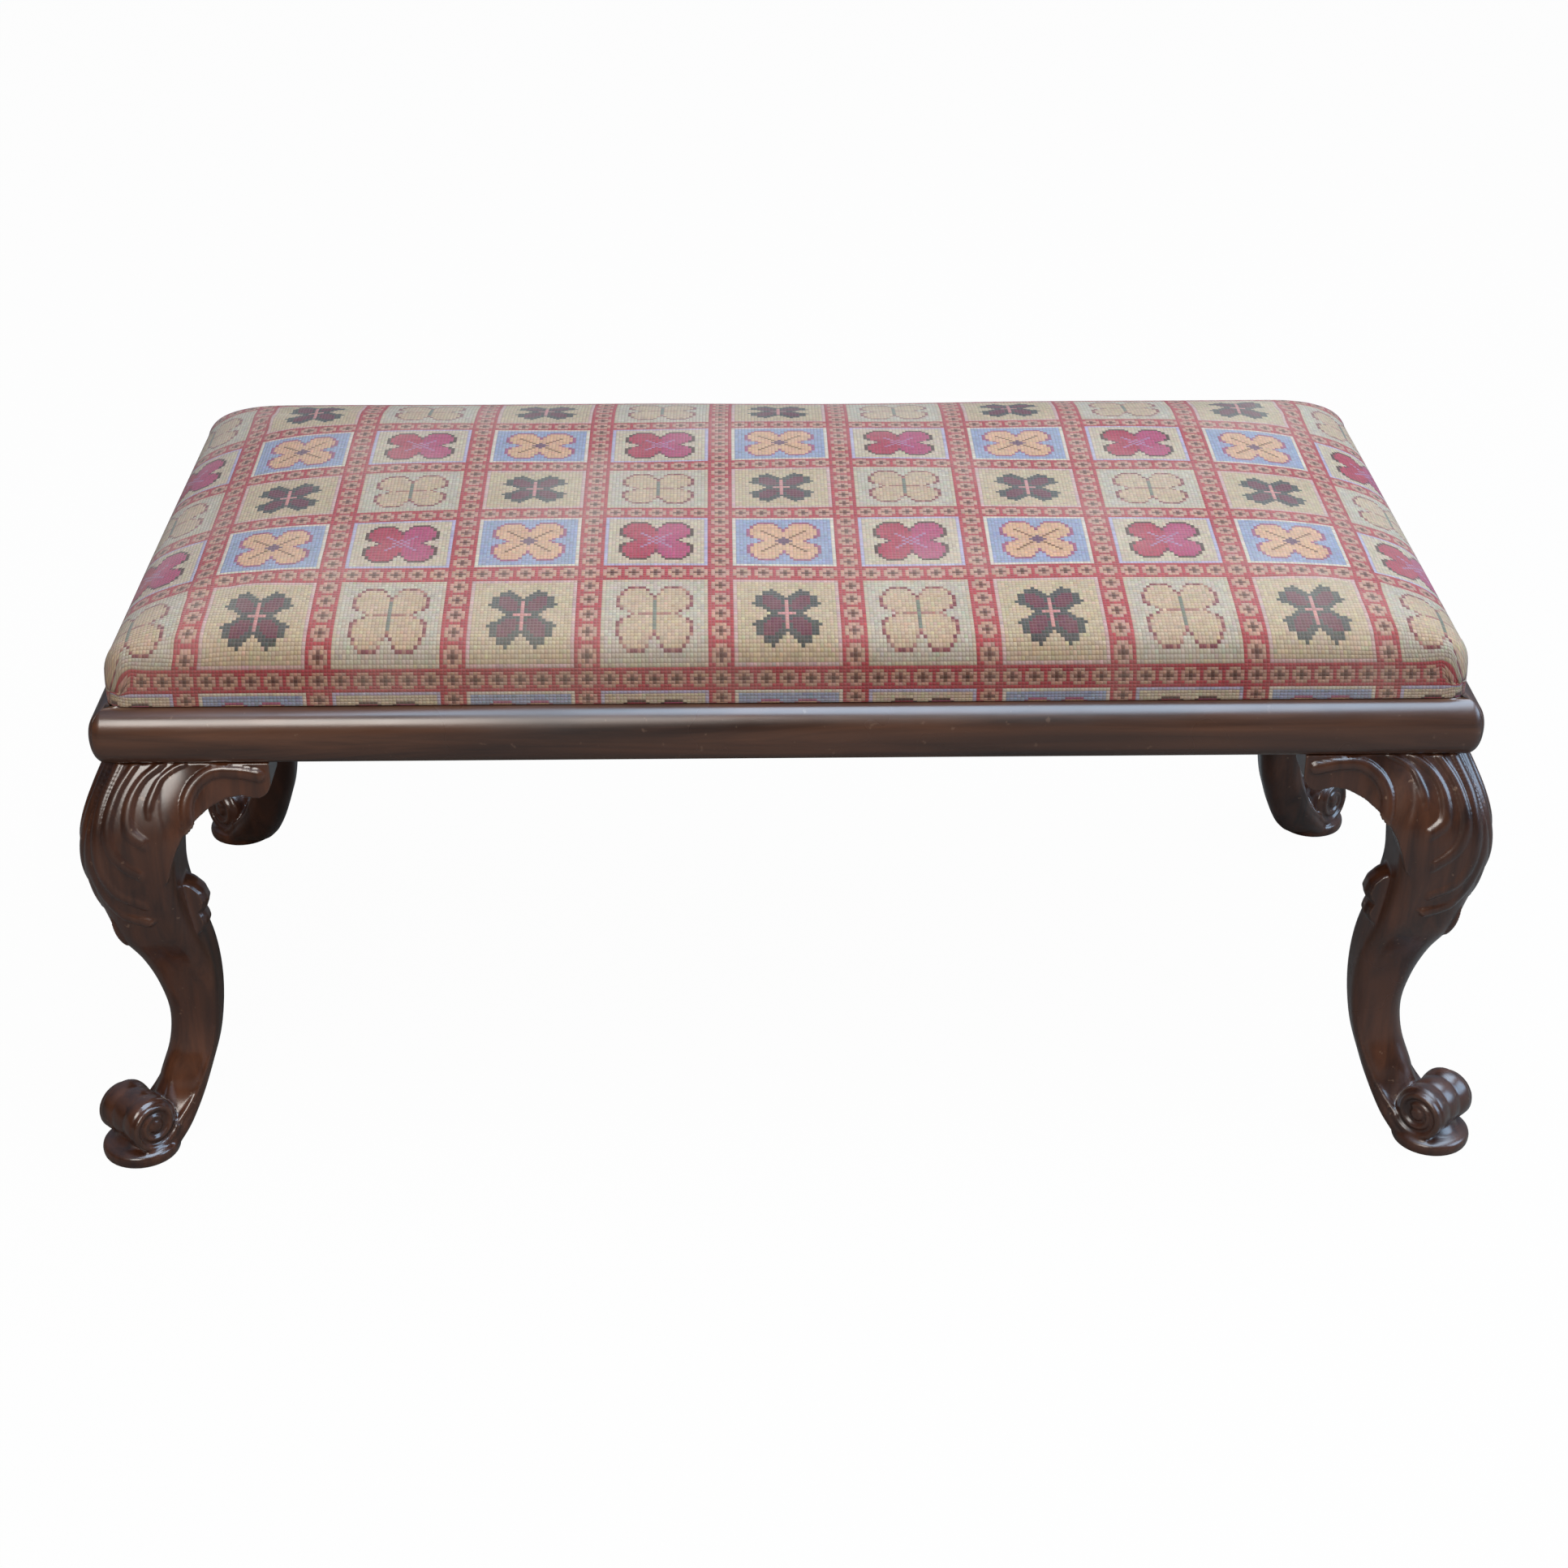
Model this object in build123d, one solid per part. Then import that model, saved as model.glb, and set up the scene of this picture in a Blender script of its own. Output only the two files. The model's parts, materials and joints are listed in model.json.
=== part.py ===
from build123d import *
from math import cos, pi, sin, sqrt
import os

os.makedirs("parts", exist_ok=True)

# Overall sizes in millimetres: X along the stool, Y to the back, Z up from the floor
FRAME_LENGTH = 1000.0
FRAME_DEPTH = 504.0
LEG_HEIGHT = 331.0

# Rail moulding: insets are measured inward from the outermost line of the frame
RAIL_HEIGHT = 43.0
RAIL_WIDTH = 62.0
NOSE_HEIGHT = 22.0
NOSE_TOP_INSET = 14.0
NOSE_BOTTOM_INSET = 12.0
REBATE_INSET = 19.0
REBATE_DEPTH = 19.0

# Joinery
FIT = 0.1
DOWEL_DIAMETER = 8.0
MITRE_DOWEL_LENGTH = 22.0
MITRE_DOWEL_INSETS = (15.0, 53.0)
MITRE_DOWEL_HEIGHT = 12.0
TENON_DIAMETER = 24.0
TENON_LENGTH = 17.0
TENON_INSET = 34.0
LEG_SCREW_DIAMETER = 5.0
LEG_SCREW_HEAD = 10.0
LEG_SCREW_LENGTH = 72.0
BLOCK_LEG = 62.0
BLOCK_THICKNESS = 22.0
BLOCK_SCREW_DIAMETER = 4.0
BLOCK_SCREW_HEAD = 8.0
BLOCK_SCREW_LENGTH = 40.0
BLOCK_SCREW_OFFSET = 36.0
BLOCK_SCREW_SEAT = 14.0

# Cabriole leg: share of the leg height, outer inset, inner inset, outer and side corner radius
LEG_STATIONS = (
    (1.000, 4.0, 56.0, 20.0, 4.0),
    (0.920, -5.5, 56.0, 22.0, 5.0),
    (0.846, -13.0, 55.5, 24.0, 7.0),
    (0.779, -15.0, 54.0, 24.0, 12.0),
    (0.710, -12.0, 53.0, 24.0, 16.0),
    (0.640, -6.0, 55.5, 22.0, 16.0),
    (0.559, 1.5, 60.5, 19.0, 15.0),
    (0.483, 12.0, 65.0, 15.0, 14.0),
    (0.393, 20.5, 67.0, 13.0, 13.0),
    (0.302, 24.0, 65.0, 13.0, 13.0),
    (0.227, 21.5, 60.5, 12.0, 12.0),
    (0.166, 17.0, 55.5, 12.0, 12.0),
    (0.120, 12.0, 50.5, 12.0, 12.0),
    (0.085, 5.0, 45.5, 12.0, 12.0),
    (0.050, -3.0, 39.5, 12.0, 12.0),
    (0.022, -10.0, 32.5, 12.0, 12.0),
)
INNER_RADIUS = 13.0
SPUR_REACH = 12.0
SPUR_TOP = 0.690
SPUR_TIP = 0.625
SPUR_FOOT = 0.545
SPUR_THICKNESS = 32.0
SPUR_SET_BACK = 12.0

# Scroll toe on its pad, in the diagonal plane of the leg
PAD_INSET = 2.0
PAD_DIAMETER = 59.0
PAD_HEIGHT = 11.0
PAD_EDGE = 3.0
ROLL_DIAMETER = 42.0
ROLL_WIDTH = 45.0
ROLL_HEIGHT = 32.0
ROLL_EDGE = 4.0
EYE_DIAMETER = 14.0
EYE_LENGTH = 50.0

# Ear brackets beside the knee
EAR_JOINT_INSET = 53.0
EAR_REACH = 75.0
EAR_DROP = 68.0
EAR_ARCH_REACH = 46.0
EAR_ARCH_DROP = 25.0
EAR_BEND_REACH = 16.0
EAR_BEND_DROP = 45.0
EAR_SCROLL_DIAMETER = 22.0
EAR_KNEE_OVERHANG = 10.0
EAR_BELLY_INSET = 0.0
EAR_END_INSET = 5.0
EAR_BACK_INSET = 42.0
EAR_DOWEL_LENGTH = 36.0
EAR_DOWEL_INSET = 24.0
EAR_DOWEL_DROP = 14.0

# Drop-in seat
SEAT_CLEARANCE = 1.2
COVER_THICKNESS = 2.0
COVER_TURN_UNDER = 26.0
LAYER_GAP = 0.3
CUSHION_CORNER = 15.0
CUSHION_CORNER_GROWTH = 0.5
CUSHION_CORNER_SHARE = 0.8
LIP_GAP = 0.4
BULGE_HEIGHT = 12.0
END_BULGE_INSET = 12.5
SIDE_BULGE_INSET = 13.0
CROWN_RISE = 64.0
CROWN_POWER = 2.35
END_FULLNESS = 3.2
SIDE_FULLNESS = 4.5
CROWN_LEVELS = (0.0, 0.5, 0.72, 0.86, 0.95, 0.99)
BATTEN_WIDTH = 50.0
BATTEN_THICKNESS = 17.0
CROSS_BATTEN_DROP = 5.0
BATTEN_DOWEL_LENGTH = 50.0
BATTEN_DOWEL_SPREAD = 24.0
WEB_WIDTH = 50.0
WEB_THICKNESS = 1.5
WEB_END_INSET = 12.0
LONG_WEBS = 3
CROSS_WEBS = 7
HESSIAN_THICKNESS = 0.8
HESSIAN_SET_IN = 4.0
CALICO_THICKNESS = 0.8
WADDING_THICKNESS = 8.0
BOTTOM_CLOTH_THICKNESS = 0.6
BOTTOM_CLOTH_GAP = 2.0

# Tacks
TACK_SHANK = 1.8
TACK_HEAD = 6.0
TACK_HEAD_THICKNESS = 0.8
TACK_LENGTH = 12.0
TACKS_PER_WEB_END = 2
WEB_TACK_INSET = 10.0
COVER_TACK_INSET = 17.0
COVER_TACKS_LONG = 11
COVER_TACKS_SHORT = 5

# Heights that follow from the sizes above
RAIL_TOP = LEG_HEIGHT + RAIL_HEIGHT
LEDGE = RAIL_TOP - REBATE_DEPTH
SEAT_INSET = REBATE_INSET + SEAT_CLEARANCE
BATTEN_BOTTOM = LEDGE + COVER_THICKNESS
BATTEN_TOP = BATTEN_BOTTOM + BATTEN_THICKNESS
WEB_TOP = BATTEN_TOP + 2 * WEB_THICKNESS
HESSIAN_BOTTOM = WEB_TOP + TACK_HEAD_THICKNESS
HESSIAN_TOP = HESSIAN_BOTTOM + HESSIAN_THICKNESS
BATTEN_INSET = SEAT_INSET + COVER_THICKNESS + LAYER_GAP
CUSHION_LENGTH = FRAME_LENGTH - 2 * SEAT_INSET
CUSHION_DEPTH = FRAME_DEPTH - 2 * SEAT_INSET
CROWN_REACH = FRAME_DEPTH / 2 - SIDE_BULGE_INSET

# Corner frames: each one has its own X and Y running inward along the two rails
CORNERS = {
    "front_left": Location((-FRAME_LENGTH / 2, -FRAME_DEPTH / 2, 0), (0, 0, 0)),
    "front_right": Location((FRAME_LENGTH / 2, -FRAME_DEPTH / 2, 0), (0, 0, 90)),
    "back_right": Location((FRAME_LENGTH / 2, FRAME_DEPTH / 2, 0), (0, 0, 180)),
    "back_left": Location((-FRAME_LENGTH / 2, FRAME_DEPTH / 2, 0), (0, 0, 270)),
}
DIAGONAL = Plane(origin=(0, 0, 0), x_dir=(1, 1, 0), z_dir=(1, -1, 0))


def save(name, shape):
    export_step(shape, f"parts/{name}.step")


def group(solids):
    return Compound(children=[solid for shape in solids for solid in shape.solids()])


def bar(diameter, start, direction, length):
    plane = Plane(origin=start, z_dir=direction)
    return plane * Cylinder(diameter / 2, length, align=(Align.CENTER, Align.CENTER, Align.MIN))


def block(low, high):
    size = [top - bottom for bottom, top in zip(low, high)]
    return Pos(*low) * Box(*size, align=(Align.MIN, Align.MIN, Align.MIN))


def slab(length, depth, radius, bottom, top):
    return Pos(0, 0, bottom) * extrude(RectangleRounded(length, depth, radius), top - bottom)


def spread(count, span):
    return [span * (index / (count - 1) - 0.5) for index in range(count)]


# Fasteners and their holes in the corner frame
def corner_dowels(clearance):
    heights = (LEG_HEIGHT + NOSE_HEIGHT, LEG_HEIGHT + MITRE_DOWEL_HEIGHT)
    length = MITRE_DOWEL_LENGTH + 2 * clearance
    half = length / 2 / sqrt(2)
    return [
        bar(DOWEL_DIAMETER + 2 * clearance, (inset - half, inset + half, z), (1, -1, 0), length)
        for inset, z in zip(MITRE_DOWEL_INSETS, heights)
    ]


def leg_screw(clearance):
    head_depth = (LEG_SCREW_HEAD - LEG_SCREW_DIAMETER) / 2
    shank = bar(
        LEG_SCREW_DIAMETER + 2 * clearance,
        (TENON_INSET, TENON_INSET, LEDGE - LEG_SCREW_LENGTH - clearance),
        (0, 0, 1),
        LEG_SCREW_LENGTH + clearance,
    )
    head = Pos(TENON_INSET, TENON_INSET, LEDGE) * Cone(
        LEG_SCREW_DIAMETER / 2 + clearance,
        LEG_SCREW_HEAD / 2 + clearance,
        head_depth,
        align=(Align.CENTER, Align.CENTER, Align.MAX),
    )
    return shank + head


def tenon(clearance):
    return bar(
        TENON_DIAMETER + 2 * clearance,
        (TENON_INSET, TENON_INSET, LEG_HEIGHT - TENON_LENGTH),
        (0, 0, 1),
        2 * TENON_LENGTH + clearance,
    )


def block_screw(clearance):
    z = LEG_HEIGHT + BLOCK_THICKNESS / 2
    across = RAIL_WIDTH + BLOCK_SCREW_OFFSET
    seat = RAIL_WIDTH + BLOCK_SCREW_SEAT
    head_depth = (BLOCK_SCREW_HEAD - BLOCK_SCREW_DIAMETER) / 2
    plane = Plane(origin=(across, seat, z), z_dir=(0, -1, 0))
    shank = plane * Cylinder(
        BLOCK_SCREW_DIAMETER / 2 + clearance,
        BLOCK_SCREW_LENGTH + clearance,
        align=(Align.CENTER, Align.CENTER, Align.MIN),
    )
    head = plane * Cone(
        BLOCK_SCREW_HEAD / 2 + clearance,
        BLOCK_SCREW_DIAMETER / 2 + clearance,
        head_depth,
        align=(Align.CENTER, Align.CENTER, Align.MIN),
    )
    return shank + head


def block_screws(clearance):
    screw = block_screw(clearance)
    return [screw, mirror(screw, about=DIAGONAL)]


def ear_dowel(clearance):
    return bar(
        DOWEL_DIAMETER + 2 * clearance,
        (
            EAR_JOINT_INSET - EAR_DOWEL_LENGTH / 2 - clearance,
            EAR_DOWEL_INSET,
            LEG_HEIGHT - EAR_DOWEL_DROP,
        ),
        (1, 0, 0),
        EAR_DOWEL_LENGTH + 2 * clearance,
    )


def ear_dowels(clearance):
    dowel = ear_dowel(clearance)
    return [dowel, mirror(dowel, about=DIAGONAL)]


# Mitred rails with a bullnose and a rebate for the drop-in seat
def rail_blank(run, across):
    bottom = (NOSE_BOTTOM_INSET, 0)
    nose = (0, NOSE_HEIGHT)
    top = (NOSE_TOP_INSET, RAIL_HEIGHT)
    low_mid = (NOSE_BOTTOM_INSET * (1 - sin(pi / 4)), NOSE_HEIGHT * (1 - cos(pi / 4)))
    rise = RAIL_HEIGHT - NOSE_HEIGHT
    high_mid = (NOSE_TOP_INSET * (1 - sin(pi / 4)), NOSE_HEIGHT + rise * cos(pi / 4))
    with BuildPart() as blank:
        with BuildSketch(Plane.YZ.offset(-run / 2)) as profile:
            with BuildLine(Location((-across / 2, LEG_HEIGHT))):
                ThreePointArc(bottom, low_mid, nose)
                ThreePointArc(nose, high_mid, top)
                Polyline(
                    top,
                    (REBATE_INSET, RAIL_HEIGHT),
                    (REBATE_INSET, RAIL_HEIGHT - REBATE_DEPTH),
                    (RAIL_WIDTH, RAIL_HEIGHT - REBATE_DEPTH),
                    (RAIL_WIDTH, 0),
                    bottom,
                )
            make_face()
        extrude(amount=run)
    outer = -across / 2
    inner = outer + RAIL_WIDTH
    wedge = make_face(
        Polyline(
            (-run / 2, outer),
            (run / 2, outer),
            (run / 2 - RAIL_WIDTH, inner),
            (RAIL_WIDTH - run / 2, inner),
            (-run / 2, outer),
        )
    )
    return blank.part & (Pos(0, 0, LEG_HEIGHT) * extrude(wedge, RAIL_HEIGHT))


corner_bores = [*corner_dowels(FIT), leg_screw(FIT), tenon(FIT), *block_screws(FIT)]
frame_bores = [place * bore for place in CORNERS.values() for bore in corner_bores]
RAILS = {
    "front_rail": (FRAME_LENGTH, FRAME_DEPTH, 0),
    "right_rail": (FRAME_DEPTH, FRAME_LENGTH, 90),
    "back_rail": (FRAME_LENGTH, FRAME_DEPTH, 180),
    "left_rail": (FRAME_DEPTH, FRAME_LENGTH, 270),
}
for name, (run, across, turn) in RAILS.items():
    save(name, Rot(0, 0, turn) * rail_blank(run, across) - frame_bores)

save("mitre_dowels", group([place * pin for place in CORNERS.values() for pin in corner_dowels(0)]))
save("leg_screws", group([place * leg_screw(0) for place in CORNERS.values()]))


# Corner blocks inside the frame
def corner_block():
    triangle = make_face(Polyline((0, 0), (BLOCK_LEG, 0), (0, BLOCK_LEG), (0, 0)))
    body = Pos(RAIL_WIDTH, RAIL_WIDTH, LEG_HEIGHT) * extrude(triangle, BLOCK_THICKNESS)
    pocket = bar(
        BLOCK_SCREW_HEAD + 2 * FIT,
        (RAIL_WIDTH + BLOCK_SCREW_OFFSET, RAIL_WIDTH + BLOCK_SCREW_SEAT,
         LEG_HEIGHT + BLOCK_THICKNESS / 2),
        (0, 1, 0),
        BLOCK_LEG,
    )
    return body - [pocket, mirror(pocket, about=DIAGONAL), *block_screws(FIT)]


block_solid = corner_block()
for name, place in CORNERS.items():
    save(f"{name}_corner_block", place * block_solid)
save("corner_block_screws", group([place * s for place in CORNERS.values() for s in block_screws(0)]))


# Carved leg blank: square sections with rounded corners, then the spur, toe, pad and tenon
def corner_arc(centre, radius, angle):
    points = []
    for step in (-pi / 4, 0, pi / 4):
        points.append((centre[0] + radius * cos(angle + step), centre[1] + radius * sin(angle + step)))
    return ThreePointArc(*points)


def leg_section(share, low, high, outer_radius, side_radius):
    turns = (
        (low, low, outer_radius, 5 * pi / 4),
        (high, low, side_radius, 7 * pi / 4),
        (high, high, INNER_RADIUS, pi / 4),
        (low, high, side_radius, 3 * pi / 4),
    )
    arcs = []
    for x, y, radius, angle in turns:
        centre = (x + radius * (1 if x == low else -1), y + radius * (1 if y == low else -1))
        arcs.append(corner_arc(centre, radius, angle))
    edges = []
    for index, arc in enumerate(arcs):
        edges.append(arc)
        edges.append(Line(arc @ 1, arcs[(index + 1) % len(arcs)] @ 0))
    return Pos(0, 0, share * LEG_HEIGHT) * make_face(edges)


def leg_inner(share):
    for upper, lower in zip(LEG_STATIONS, LEG_STATIONS[1:]):
        if lower[0] <= share <= upper[0]:
            mix = (share - lower[0]) / (upper[0] - lower[0])
            return lower[2] + mix * (upper[2] - lower[2])
    return LEG_STATIONS[-1][2]


def spur():
    root = leg_inner(SPUR_TOP)
    tip = (leg_inner(SPUR_TIP) + SPUR_REACH, SPUR_TIP * LEG_HEIGHT)
    top = (root - SPUR_REACH, SPUR_TOP * LEG_HEIGHT)
    foot = (leg_inner(SPUR_FOOT) - SPUR_REACH, SPUR_FOOT * LEG_HEIGHT)
    plane = Plane(origin=(0, SPUR_SET_BACK + SPUR_THICKNESS, 0), x_dir=(1, 0, 0), z_dir=(0, -1, 0))
    bend = ((top[0] + tip[0]) / 2 + SPUR_REACH / 6, (top[1] + tip[1]) / 2 + SPUR_REACH / 6)
    outline = make_face([ThreePointArc(top, bend, tip), Line(tip, foot), Line(foot, top)])
    return extrude(plane * outline, SPUR_THICKNESS)


def foot():
    diagonal = Plane(origin=(PAD_INSET, PAD_INSET, 0), x_dir=(-1, -1, 0), z_dir=(-1, 1, 0))
    barrel = diagonal * Pos(0, ROLL_HEIGHT, 0) * Cylinder(ROLL_DIAMETER / 2, ROLL_WIDTH)
    barrel = fillet(barrel.edges().filter_by(GeomType.CIRCLE), ROLL_EDGE)
    eye = diagonal * Pos(0, ROLL_HEIGHT, 0) * Cylinder(EYE_DIAMETER / 2, EYE_LENGTH)
    pad = Pos(PAD_INSET, PAD_INSET, 0) * Cylinder(
        PAD_DIAMETER / 2, PAD_HEIGHT, align=(Align.CENTER, Align.CENTER, Align.MIN)
    )
    pad = fillet(pad.edges().filter_by(GeomType.CIRCLE), PAD_EDGE)
    return barrel + eye + pad


def leg():
    stations = sorted(LEG_STATIONS)
    shaft = loft([leg_section(*station) for station in stations])
    knee_low = LEG_HEIGHT - EAR_DROP
    past = (RAIL_WIDTH + EAR_REACH, RAIL_WIDTH + EAR_REACH, LEG_HEIGHT)
    shave = block((EAR_JOINT_INSET, -RAIL_WIDTH, knee_low), past)
    shaft = shaft - [shave, mirror(shave, about=DIAGONAL)]
    side_spur = spur()
    solid = shaft + side_spur + mirror(side_spur, about=DIAGONAL) + foot() + tenon(0)
    return solid - [leg_screw(FIT), *ear_dowels(FIT)]


leg_solid = leg()
for name, place in CORNERS.items():
    save(f"{name}_leg", place * leg_solid)


# Ear brackets: a side outline cut by a curved plan, one along each rail
def ear():
    joint = EAR_JOINT_INSET
    end = joint + EAR_REACH
    low = (joint, LEG_HEIGHT - EAR_DROP)
    bend = (joint + EAR_BEND_REACH, LEG_HEIGHT - EAR_BEND_DROP)
    crown = (joint + EAR_ARCH_REACH, LEG_HEIGHT - EAR_ARCH_DROP)
    scroll_start = (end - EAR_SCROLL_DIAMETER, LEG_HEIGHT - EAR_ARCH_DROP)
    scroll_low = (end - EAR_SCROLL_DIAMETER / 2, LEG_HEIGHT - EAR_ARCH_DROP - EAR_SCROLL_DIAMETER / 4)
    scroll_end = (end, LEG_HEIGHT - EAR_ARCH_DROP)
    side = make_face([
        ThreePointArc(low, bend, crown),
        Line(crown, scroll_start),
        ThreePointArc(scroll_start, scroll_low, scroll_end),
        Polyline(scroll_end, (end, LEG_HEIGHT), (joint, LEG_HEIGHT), low),
    ])
    plane = Plane(origin=(0, EAR_BACK_INSET, 0), x_dir=(1, 0, 0), z_dir=(0, -1, 0))
    thick = extrude(plane * side, EAR_BACK_INSET + EAR_KNEE_OVERHANG)
    plan = make_face([
        ThreePointArc(
            (joint, -EAR_KNEE_OVERHANG),
            (joint + EAR_REACH / 2, EAR_BELLY_INSET),
            (end, EAR_END_INSET),
        ),
        Polyline(
            (end, EAR_END_INSET),
            (end, EAR_BACK_INSET),
            (joint, EAR_BACK_INSET),
            (joint, -EAR_KNEE_OVERHANG),
        ),
    ])
    shaped = thick & extrude(plan, LEG_HEIGHT)
    return shaped - ear_dowel(FIT)


ear_solid = ear()
EAR_NAMES = {
    "front_left": ("front_left_front_ear", "front_left_side_ear"),
    "front_right": ("front_right_side_ear", "front_right_front_ear"),
    "back_right": ("back_right_back_ear", "back_right_side_ear"),
    "back_left": ("back_left_side_ear", "back_left_back_ear"),
}
for corner, (along_x, along_y) in EAR_NAMES.items():
    save(along_x, CORNERS[corner] * ear_solid)
    save(along_y, CORNERS[corner] * mirror(ear_solid, about=DIAGONAL))
save("ear_dowels", group([place * pin for place in CORNERS.values() for pin in ear_dowels(0)]))


# Drop-in seat: crowned solids nest inside each other, and the crown overhangs the rebate by a lip
def crown_inset(level, fullness):
    return CROWN_REACH * (1 - (1 - level ** fullness) ** (1 / CROWN_POWER))


def crown_plan(end_inset, side_inset, growth):
    widest = CUSHION_CORNER_SHARE * (FRAME_DEPTH / 2 - side_inset)
    radius = min(CUSHION_CORNER + CUSHION_CORNER_GROWTH * growth, widest)
    return RectangleRounded(FRAME_LENGTH - 2 * end_inset, FRAME_DEPTH - 2 * side_inset, radius)


def crown_solid(depth, floor):
    sections = []
    for level in CROWN_LEVELS:
        end = crown_inset(level, END_FULLNESS)
        side = crown_inset(level, SIDE_FULLNESS)
        plan = crown_plan(END_BULGE_INSET + end + depth, SIDE_BULGE_INSET + side + depth, side)
        height = RAIL_TOP + BULGE_HEIGHT + level * (CROWN_RISE - depth)
        sections.append(Pos(0, 0, height) * plan)
    lip = RAIL_TOP + LIP_GAP + depth if floor < RAIL_TOP else floor
    wall = extrude(sections[0], lip - RAIL_TOP - BULGE_HEIGHT)
    dome = loft(sections) + wall
    if floor < lip:
        return dome + plan_slab(SEAT_INSET + depth, floor, lip)
    return dome


def plan_slab(inset, bottom, top):
    radius = CUSHION_CORNER - (inset - SEAT_INSET) / 2
    return slab(FRAME_LENGTH - 2 * inset, FRAME_DEPTH - 2 * inset, radius, bottom, top)


def tack(clearance, up):
    shank = Cylinder(TACK_SHANK / 2 + clearance, TACK_LENGTH + clearance,
                     align=(Align.CENTER, Align.CENTER, Align.MIN))
    head = Cylinder(TACK_HEAD / 2 + clearance, TACK_HEAD_THICKNESS,
                    align=(Align.CENTER, Align.CENTER, Align.MIN))
    pin = shank + head
    return pin if up else Rot(180, 0, 0) * pin


# Battens
batten_plan = plan_slab(BATTEN_INSET, BATTEN_BOTTOM, BATTEN_TOP)
half_length = FRAME_LENGTH / 2 - BATTEN_INSET
half_depth = FRAME_DEPTH / 2 - BATTEN_INSET
inner_length = half_length - BATTEN_WIDTH
inner_depth = half_depth - BATTEN_WIDTH
batten_mid = (BATTEN_BOTTOM + BATTEN_TOP) / 2
cross_low = (-BATTEN_WIDTH / 2, -inner_depth, BATTEN_BOTTOM)
cross_high = (BATTEN_WIDTH / 2, inner_depth, BATTEN_TOP - CROSS_BATTEN_DROP)
battens = {
    "front_batten": batten_plan & block(
        (-half_length, -half_depth, BATTEN_BOTTOM), (half_length, -inner_depth, BATTEN_TOP)),
    "back_batten": batten_plan & block(
        (-half_length, inner_depth, BATTEN_BOTTOM), (half_length, half_depth, BATTEN_TOP)),
    "left_batten": block(
        (-half_length, -inner_depth, BATTEN_BOTTOM), (-inner_length, inner_depth, BATTEN_TOP)),
    "right_batten": block(
        (inner_length, -inner_depth, BATTEN_BOTTOM), (half_length, inner_depth, BATTEN_TOP)),
    "cross_batten": block(cross_low, cross_high),
}


def batten_dowels(clearance):
    pins = []
    length = BATTEN_DOWEL_LENGTH + 2 * clearance
    height = batten_mid - CROSS_BATTEN_DROP / 2
    for centre in (BATTEN_WIDTH / 2 - half_length, 0, half_length - BATTEN_WIDTH / 2):
        for side in (-1, 1):
            for offset in (-BATTEN_DOWEL_SPREAD / 2, BATTEN_DOWEL_SPREAD / 2):
                start = (centre + offset, side * inner_depth - length / 2, height)
                pins.append(bar(DOWEL_DIAMETER + 2 * clearance, start, (0, 1, 0), length))
    return pins


# Webbing straps and the tacks at their ends
web_length = CUSHION_LENGTH - 2 * (COVER_THICKNESS + WEB_END_INSET)
web_depth = CUSHION_DEPTH - 2 * (COVER_THICKNESS + WEB_END_INSET)
long_rows = [y * (LONG_WEBS - 1) / (LONG_WEBS + 1) for y in spread(LONG_WEBS, 2 * inner_depth)]
cross_rows = [x * (CROSS_WEBS - 1) / (CROSS_WEBS + 1) for x in spread(CROSS_WEBS, 2 * inner_length)]
web_tack_sites = []
for side in (-1, 1):
    for row in long_rows:
        for offset in spread(TACKS_PER_WEB_END, WEB_WIDTH / 2):
            x = side * (web_length / 2 - WEB_TACK_INSET)
            web_tack_sites.append((x, row + offset, BATTEN_TOP + WEB_THICKNESS))
    for row in cross_rows:
        for offset in spread(TACKS_PER_WEB_END, WEB_WIDTH / 2):
            y = side * (web_depth / 2 - WEB_TACK_INSET)
            web_tack_sites.append((row + offset, y, WEB_TOP))


def web_tacks(clearance):
    pin = Pos(0, 0, TACK_HEAD_THICKNESS) * tack(clearance, False)
    return [Pos(*site) * pin for site in web_tack_sites]


# Tacks that hold the turned-under edge of the cover
tack_line = SEAT_INSET + COVER_TACK_INSET
tack_x = FRAME_LENGTH / 2 - tack_line
tack_y = FRAME_DEPTH / 2 - tack_line
cover_tack_sites = []
for side in (-1, 1):
    for x in spread(COVER_TACKS_LONG, 2 * tack_x):
        cover_tack_sites.append((x, side * tack_y, LEDGE))
    for y in spread(COVER_TACKS_SHORT + 2, 2 * tack_y)[1:-1]:
        cover_tack_sites.append((side * tack_x, y, LEDGE))


def cover_tacks(clearance):
    pin = tack(clearance, True)
    return [Pos(*site) * pin for site in cover_tack_sites]


web_holes = web_tacks(FIT)
cover_holes = cover_tacks(FIT)
dowel_holes = batten_dowels(FIT)
for name, solid in battens.items():
    save(name, solid - [*dowel_holes, *web_holes, *cover_holes])
save("batten_dowels", group(batten_dowels(0)))
save("webbing_tacks", group(web_tacks(0)))
save("cover_tacks", group(cover_tacks(0)))

long_straps = [
    Pos(0, y, BATTEN_TOP + WEB_THICKNESS / 2) * Box(web_length, WEB_WIDTH, WEB_THICKNESS)
    for y in long_rows
]
cross_straps = [
    Pos(x, 0, WEB_TOP - WEB_THICKNESS / 2) * Box(WEB_WIDTH, web_depth, WEB_THICKNESS)
    for x in cross_rows
]
save("long_webbing", group([strap - web_holes for strap in long_straps]))
save("cross_webbing", group([strap - web_holes for strap in cross_straps]))

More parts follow.
